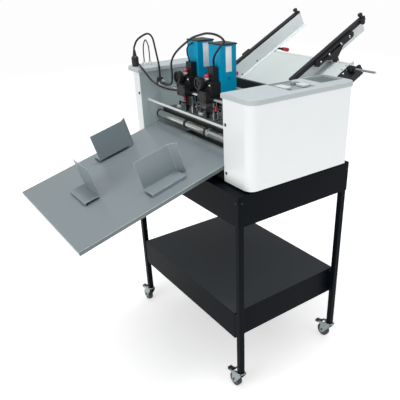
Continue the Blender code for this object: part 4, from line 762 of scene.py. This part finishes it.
# Bright socket screws hold the bars' bracket plates, a steel bolt closes each arm's foot,
# and two dark holes with countersunk screws show in the left guide's panel.
bolt_steel = surface("bolt_steel", (0.62, 0.63, 0.64), 0.26, metal=1.0, grain=400, depth=0.04)
bracket_start, bracket_end, bracket_reach = 0.267, 0.462, 0.02505
for side, guide_x, way in (("left", -0.197, -1), ("right", 0.110, 1)):
    face = guide_x + way * bracket_reach
    for number, share in enumerate((0.12, 0.34, 0.66, 0.88)):
        along = bracket_start + (bracket_end - bracket_start) * share
        button_screw(f"{side}_bracket_screw_{number}", on_feed(face, along, 0.040),
                     (way, 0, 0), bolt_steel, side + "_guide_set", 0.0045, 0.0036)
    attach(turned(side + "_arm_bolt", [(0.0062, 0), (0.0068, 0.0006), (0.0068, 0.0026),
                                        (0.0040, 0.0036)], bolt_steel,
                   on_feed(face - way * 0.0006, 0.3585, -0.0080), (way, 0, 0), 32),
            side + "_guide_set")
for number, (along, above) in enumerate(((0.186, 0.006), (0.270, 0.010))):
    button_screw(f"left_guide_panel_screw_{number}", on_feed(-0.19625, along, above),
                 (1, 0, 0), screw_black, "left_guide_set", 0.0030, 0.0009)

# The lift lever behind the left guide ends in a fat red rubber grip. A second red grip
# stands low on that guide's bar.
rounded_node("lift_lever", part_black, 0.0006)
grip_red = surface("red_rubber", (0.42, 0.010, 0.032), 0.42, grain=900, depth=0.08)
lever_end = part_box("lift_lever")[1].x
lever_spot = on_feed(0, 0.380, -0.0072)
for name, setback, steps, finish in (
        ("lever_sleeve", 0.0222, [(0.0062, 0), (0.0073, 0.0010), (0.0076, 0.0090),
                                  (0.0076, 0.0170), (0.0068, 0.0212), (0.0046, 0.0232)],
         grip_red),
        ("lever_ferrule", 0.0344, [(0.0046, 0), (0.0062, 0.0012), (0.0066, 0.0120)],
         part_black)):
    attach(turned(name, steps, finish, (lever_end - setback, lever_spot.y, lever_spot.z),
                   (1, 0, 0), 32), "lift_lever_body")
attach(block("bar_grip", (-0.1782, 0.2330, 0.9420), (-0.1700, 0.2450, 0.9560), 0.0028,
              grip_red), "left_guide_set")

# ---------------------------------------------------------------- Side block
# A black painted block is screwed to the table's right edge. Its two bosses carry a
# steel handle with a black knurled knob between them, and a clamp knob stands behind.
rounded_node("side_block", bar_black, 0.0008)
for number, along in enumerate((0.3215, 0.2990)):
    button_screw(f"side_block_screw_{number}", on_feed(0.2120, along, 0.0), feed_up,
                 bolt_steel, "machine", 0.0050, 0.0030)
low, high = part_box("side_handle")
handle_y, handle_z = (low.y + high.y) / 2, (low.z + high.z) / 2
whole_rod("handle_bar", "side_handle", 0.0040, chrome, "side_handle_body", chamfer=0.0010)
knob_start_x = 0.24965
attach(fluted("handle_knob", 0.0100, 0.0007, 0.0148, 20, knob_black,
               (knob_start_x, handle_y, handle_z), (1, 0, 0), 0.0012), "side_handle_body")
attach(fluted("side_clamp_knob", 0.0075, 0.0007, 0.0110, 16, knob_black,
               on_feed(0.2492, 0.3368, -0.0002), feed_up, 0.0010), "machine")

# Two short slots are punched in the table's right edge, inward of the block. Each is a thin dark
# film on the table top, painted shade for the opening.
slot_low = Vector((-0.0035, -0.0016, -0.0001))
for number, (slot_x, along) in enumerate(((0.1914, 0.3179), (0.1898, 0.3404))):
    place = Matrix.Translation(on_feed(slot_x, along, 0)) @ Matrix.Rotation(slope, 4, "X")
    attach(block(f"table_slot_{number}", slot_low, -slot_low, 0.00005, screw_black, place,
                  1), "machine")

# ---------------------------------------------------------------- Numbering heads
# Each head is a black cast carriage that slides on the chromed rail. Its drive sits in a
# cyan painted sheet tower behind, with a dark top plate and a bare label strip.
head_black = surface("head_casting", (0.010, 0.010, 0.011), 0.42, grain=1000, depth=0.15,
                     mottle=0.15, sheen_level=0.35)
tower_cyan = surface("tower_paint", (0.0, 0.33, 0.575), 0.26, grain=500, depth=0.04,
                     mottle=0.04, sheen_level=0.12)
plate_dark = surface("tower_plate", (0.010, 0.016, 0.020), 0.38, grain=900, depth=0.08,
                     sheen_level=0.35)
label_white = surface("label_film", (0.98, 0.99, 0.985), 0.30, grain=900, depth=0.02,
                      mottle=0.02)
lamp_red = surface("lamp_red", (0.60, 0.012, 0.07), 0.18, grain=300, depth=0.0, mottle=0.08)
lamp_base = surface("lamp_base", (0.55, 0.66, 0.61), 0.4, grain=500, depth=0.02)
button_white = surface("white_plastic", (0.75, 0.76, 0.75), 0.4, grain=900, depth=0.02)
head_places = (("near_head", 0.05775), ("far_head", -0.06525))
tower_half, shoe_top_z = 0.031, 0.9560
label_low_z, label_high_z, label_film = 1.0185, 1.0925, 0.0003
box_face_y, bar_face_y = rail_y - 0.006, rail_y - 0.022
for head, x in head_places:
    rounded_node(head + "_carriage", head_black, 0.0008)
    rounded_node(head + "_tower", tower_cyan, 0.0010, 3)
    low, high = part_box(head + "_tower")
    front, back, top, side = low.y, high.y, high.z, x + tower_half
    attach(block(head + "_top_plate", (low.x - 0.0008, front - 0.0002, top - 0.0040),
                  (high.x + 0.0008, back + 0.0008, top + 0.0004), 0.0006, plate_dark), head)
    # A black plate closes the tower's foot behind the carriage.
    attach(block(head + "_tower_shoe", (low.x - 0.0004, front - 0.0010, low.z + 0.0004),
                  (high.x - 0.0004, front + 0.0004, shoe_top_z), 0.0003, head_black), head)
    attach(block(head + "_label", (side - 0.0001, front + 0.0200, label_low_z),
                  (side + label_film, front + 0.0420, label_high_z), 0.0001, label_white),
            head)
    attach(turned(head + "_tower_recess", [(0.0052, -0.0004), (0.0052, 0.0002),
                                            (0.0038, 0.0002), (0.0036, -0.0003)],
                   plate_dark, (side, front + 0.0320, 0.9980), (1, 0, 0), 24), head)
    for number, (along, height) in enumerate(((0.006, 0.928), (0.054, 0.928),
                                              (0.054, 1.088), (0.006, 1.088))):
        button_screw(f"{head}_tower_rivet_{number}", (side, front + along, height),
                     (1, 0, 0), tower_cyan, head, 0.0014, 0.0006)
    # A red mushroom lamp with a pale collar stands on the control box.
    lamp_x, lamp_y = x - 0.003, rail_y + 0.002
    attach(turned(head + "_lamp_collar", [(0.0064, 0.9972), (0.0074, 0.9980),
                                           (0.0076, 1.0034), (0.0066, 1.0046)], lamp_base,
                   (lamp_x, lamp_y, 0)), head)
    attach(turned(head + "_lamp_cap", [(0.0066, 1.0040), (0.0080, 1.0050), (0.0083, 1.0085),
                                        (0.0076, 1.0112), (0.0056, 1.0128), (0.0028, 1.0134),
                                        (0.0004, 1.0135)], lamp_red, (lamp_x, lamp_y, 0)),
            head)
    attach(block(head + "_lamp_tag", (lamp_x - 0.0016, lamp_y - 0.0070, 0.9905),
                  (lamp_x + 0.0016, lamp_y - 0.0056, 0.9985), 0.0003, button_white), head)
    for number, (along, height, finish) in enumerate(((0.019, 0.974, screw_black),
                                                      (0.024, 0.985, button_white))):
        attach(turned(f"{head}_switch_{number}", [(0.0026, 0), (0.0026, 0.0010),
                       (0.0015, 0.0014), (0.0013, 0.0036), (0.0005, 0.0042)], finish,
                       (x + along, box_face_y, height), (0, -1, 0), 24), head)
    # Four cap screws hold the clamp bar on the front of the carriage.
    for number, (along, height) in enumerate(((-0.018, 0.960), (0.018, 0.960),
                                              (-0.018, 0.937), (0.018, 0.937))):
        button_screw(f"{head}_cap_screw_{number}", (x + along, bar_face_y, height),
                     (0, -1, 0), screw_black, head, 0.0032, 0.0022)
    # The clamp wheel is a fluted black moulding on a moulded stud.
    low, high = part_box(head + "_wheel")
    centre = (low + high) / 2
    wheel = fluted(head + "_clamp_wheel", 0.0200, 0.0010, 0.0180, 26, knob_black,
                   (centre.x, high.y - 0.0037, centre.z), (0, -1, 0), 0.0014, 0.0145, 0.0035)
    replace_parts(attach(wheel, head + "_clamp"), head + "_wheel")
    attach(turned(head + "_clamp_stud", [(0.0110, 0), (0.0110, 0.0040), (0.0060, 0.0042),
                                          (0.0060, 0.0195), (0.0048, 0.0208)], knob_black,
                   (centre.x, high.y, centre.z), (0, -1, 0), 32), head + "_clamp")

# The number box under each carriage is a black forked frame with six steel number
# wheels on one pin. Its right cheek is a bright pierced plate. A bright cup hangs on an
# arm at its front, and a red tab stands beside it for pressing.
wheel_steel = surface("number_wheel_steel", (0.16, 0.16, 0.17), 0.35, metal=0.9, grain=300,
                      depth=0.1, mottle=0.15)
bracket_steel = surface("bracket_steel", (0.60, 0.61, 0.62), 0.22, metal=1.0, grain=300,
                        depth=0.03)
cup_steel = surface("cup_steel", (0.50, 0.53, 0.55), 0.34, metal=0.55, grain=500, depth=0.05)
half, front, rear, cheek = 0.021, -0.0452, -0.0082, 0.0042
foot_z, deck, neck_z, tab_z = 0.8712, 0.8946, 0.9075, 0.9082
axle_y, axle_z, wheel_pitch = (front + rear) / 2, 0.8790, 0.0048
for (head, x), cup_x, tab_x in zip(head_places, (-0.027, -0.036), (0.044, -0.015)):
    body = head + "_numbers"
    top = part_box(head + "_number_box")[1].z
    box = block(head + "_number_frame", (x - half, front, deck), (x + half, rear, 0.9080),
                0.0010, head_black)
    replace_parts(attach(box, body), head + "_number_box")
    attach(block(head + "_number_neck", (x - half, front, neck_z),
                  (x + half, front + 0.0235, top), 0.0010, head_black), body)
    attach(block(head + "_left_cheek", (x - half, front, foot_z),
                  (x - half + cheek, rear, deck + 0.002), 0.0008, head_black), body)
    # The right cheek's bars frame two windows.
    right = x + half
    for number, (start, end) in enumerate(((0, 0.0060), (0.0155, 0.0215), (0.0310, 0.0370))):
        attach(block(f"{head}_right_cheek_post_{number}",
                      (right - cheek, front + start, foot_z),
                      (right + 0.0004, front + end, 0.9060), 0.0007, bracket_steel), body)
    for number, (floor_z, roof_z) in enumerate(((foot_z, 0.8762), (0.9010, 0.9072))):
        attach(block(f"{head}_right_cheek_rail_{number}", (right - cheek, front, floor_z),
                      (right + 0.0006, rear, roof_z), 0.0007, bracket_steel), body)
    for number, (start, end) in enumerate(((0.0004, 0.0052), (0.0110, 0.0150))):
        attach(block(f"{head}_neck_strip_{number}", (right - 0.0010, front + start, 0.9070),
                      (right + 0.0006, front + end, top - 0.0010), 0.0004, bracket_steel),
                body)
    rod_between(head + "_number_pin", (x - half - 0.0008, axle_y, axle_z),
                (x + half + 0.0012, axle_y, axle_z), 0.0032, bracket_steel, body)
    for number in range(6):
        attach(fluted(f"{head}_number_wheel_{number}", 0.0120, 0.0011, 0.0042, 10,
                       wheel_steel, (x - 0.0141 + wheel_pitch * number, axle_y, axle_z),
                       (1, 0, 0), 0.0004), body)
    # The cup hangs on a flat black arm from the frame's left cheek.
    cup = (x + cup_x, front - 0.0115)
    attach(block(head + "_cup_arm", (cup[0] - 0.002, cup[1], 0.9000),
                  (x - half + cheek, cup[1] + 0.0040, 0.9040), 0.0006, head_black), body)
    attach(block(head + "_cup_link", (x - half, cup[1] + 0.0010, 0.9005),
                  (x - half + cheek, front + cheek, 0.9035), 0.0006, head_black), body)
    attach(turned(head + "_cup", [(0.0092, 0.8835), (0.0114, 0.8842), (0.0119, 0.8860),
                                   (0.0119, 0.8925), (0.0111, 0.8938), (0.0060, 0.8942)],
                   cup_steel, (*cup, 0)), body)
    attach(turned(head + "_cup_stem", [(0.0048, 0.8940), (0.0046, 0.8958), (0.0030, 0.8966),
                                        (0.0030, 0.9050), (0.0022, 0.9060)],
                   head_black, (*cup, 0), sides=32), body)
    # The pressing tab is a red cap on a foot that is screwed to the frame.
    tab = (x + tab_x, front - 0.0042)
    foot = sorted((tab[0], x))
    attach(block(head + "_tab_foot", (foot[0] - 0.0020, tab[1] + 0.0010, tab_z),
                  (foot[1] + 0.0020, front + cheek, tab_z + 0.0040), 0.0006, head_black),
            body)
    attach(turned(head + "_press_tab", [(0.0042, 0.9080), (0.0052, 0.9088), (0.0055, 0.9140),
                                         (0.0050, 0.9205), (0.0036, 0.9240), (0.0012, 0.9251)],
                   grip_red, (*tab, 0)), body)

# ---------------------------------------------------------------- Delivery tray and stops
# The tray is one folded steel sheet with turned-down flanges, painted satin grey. Three
# loose angle stops of the same sheet stand on it; the two at the sides have a flared edge.
tray_grey = surface("tray_paint", (0.125, 0.155, 0.162), 0.24, grain=700, depth=0.05,
                    mottle=0.05, gloss_swing=0.05, sheen_level=0.6)
# The tray's upward faces are painted lighter than its flanges: painted light for how the lamps
# fall on the sheet.
painted_top_light(tray_grey, (0.226, 0.266, 0.282), 0.6)
# The tray's lighter rim is a painted highlight along its rounded edges and folds.
tray_rim_highlight = surface("tray_rim_highlight", (0.46, 0.53, 0.55), 0.24, grain=700, depth=0.03)
stop_grey = surface("stop_paint", (0.235, 0.283, 0.305), 0.30, grain=700, depth=0.06,
                    mottle=0.05)
# The stops' lighter rim is a painted highlight on their rounded edges.
stop_rim_highlight = surface("stop_rim_highlight", (0.40, 0.47, 0.50), 0.26, grain=700, depth=0.03)
rounded_node("delivery_tray", tray_grey, 0.0018, 3, tray_rim_highlight)
for name in ("left_stop", "right_stop", "end_stop"):
    rounded_node(name, stop_grey, 0.0006, 2, stop_rim_highlight)
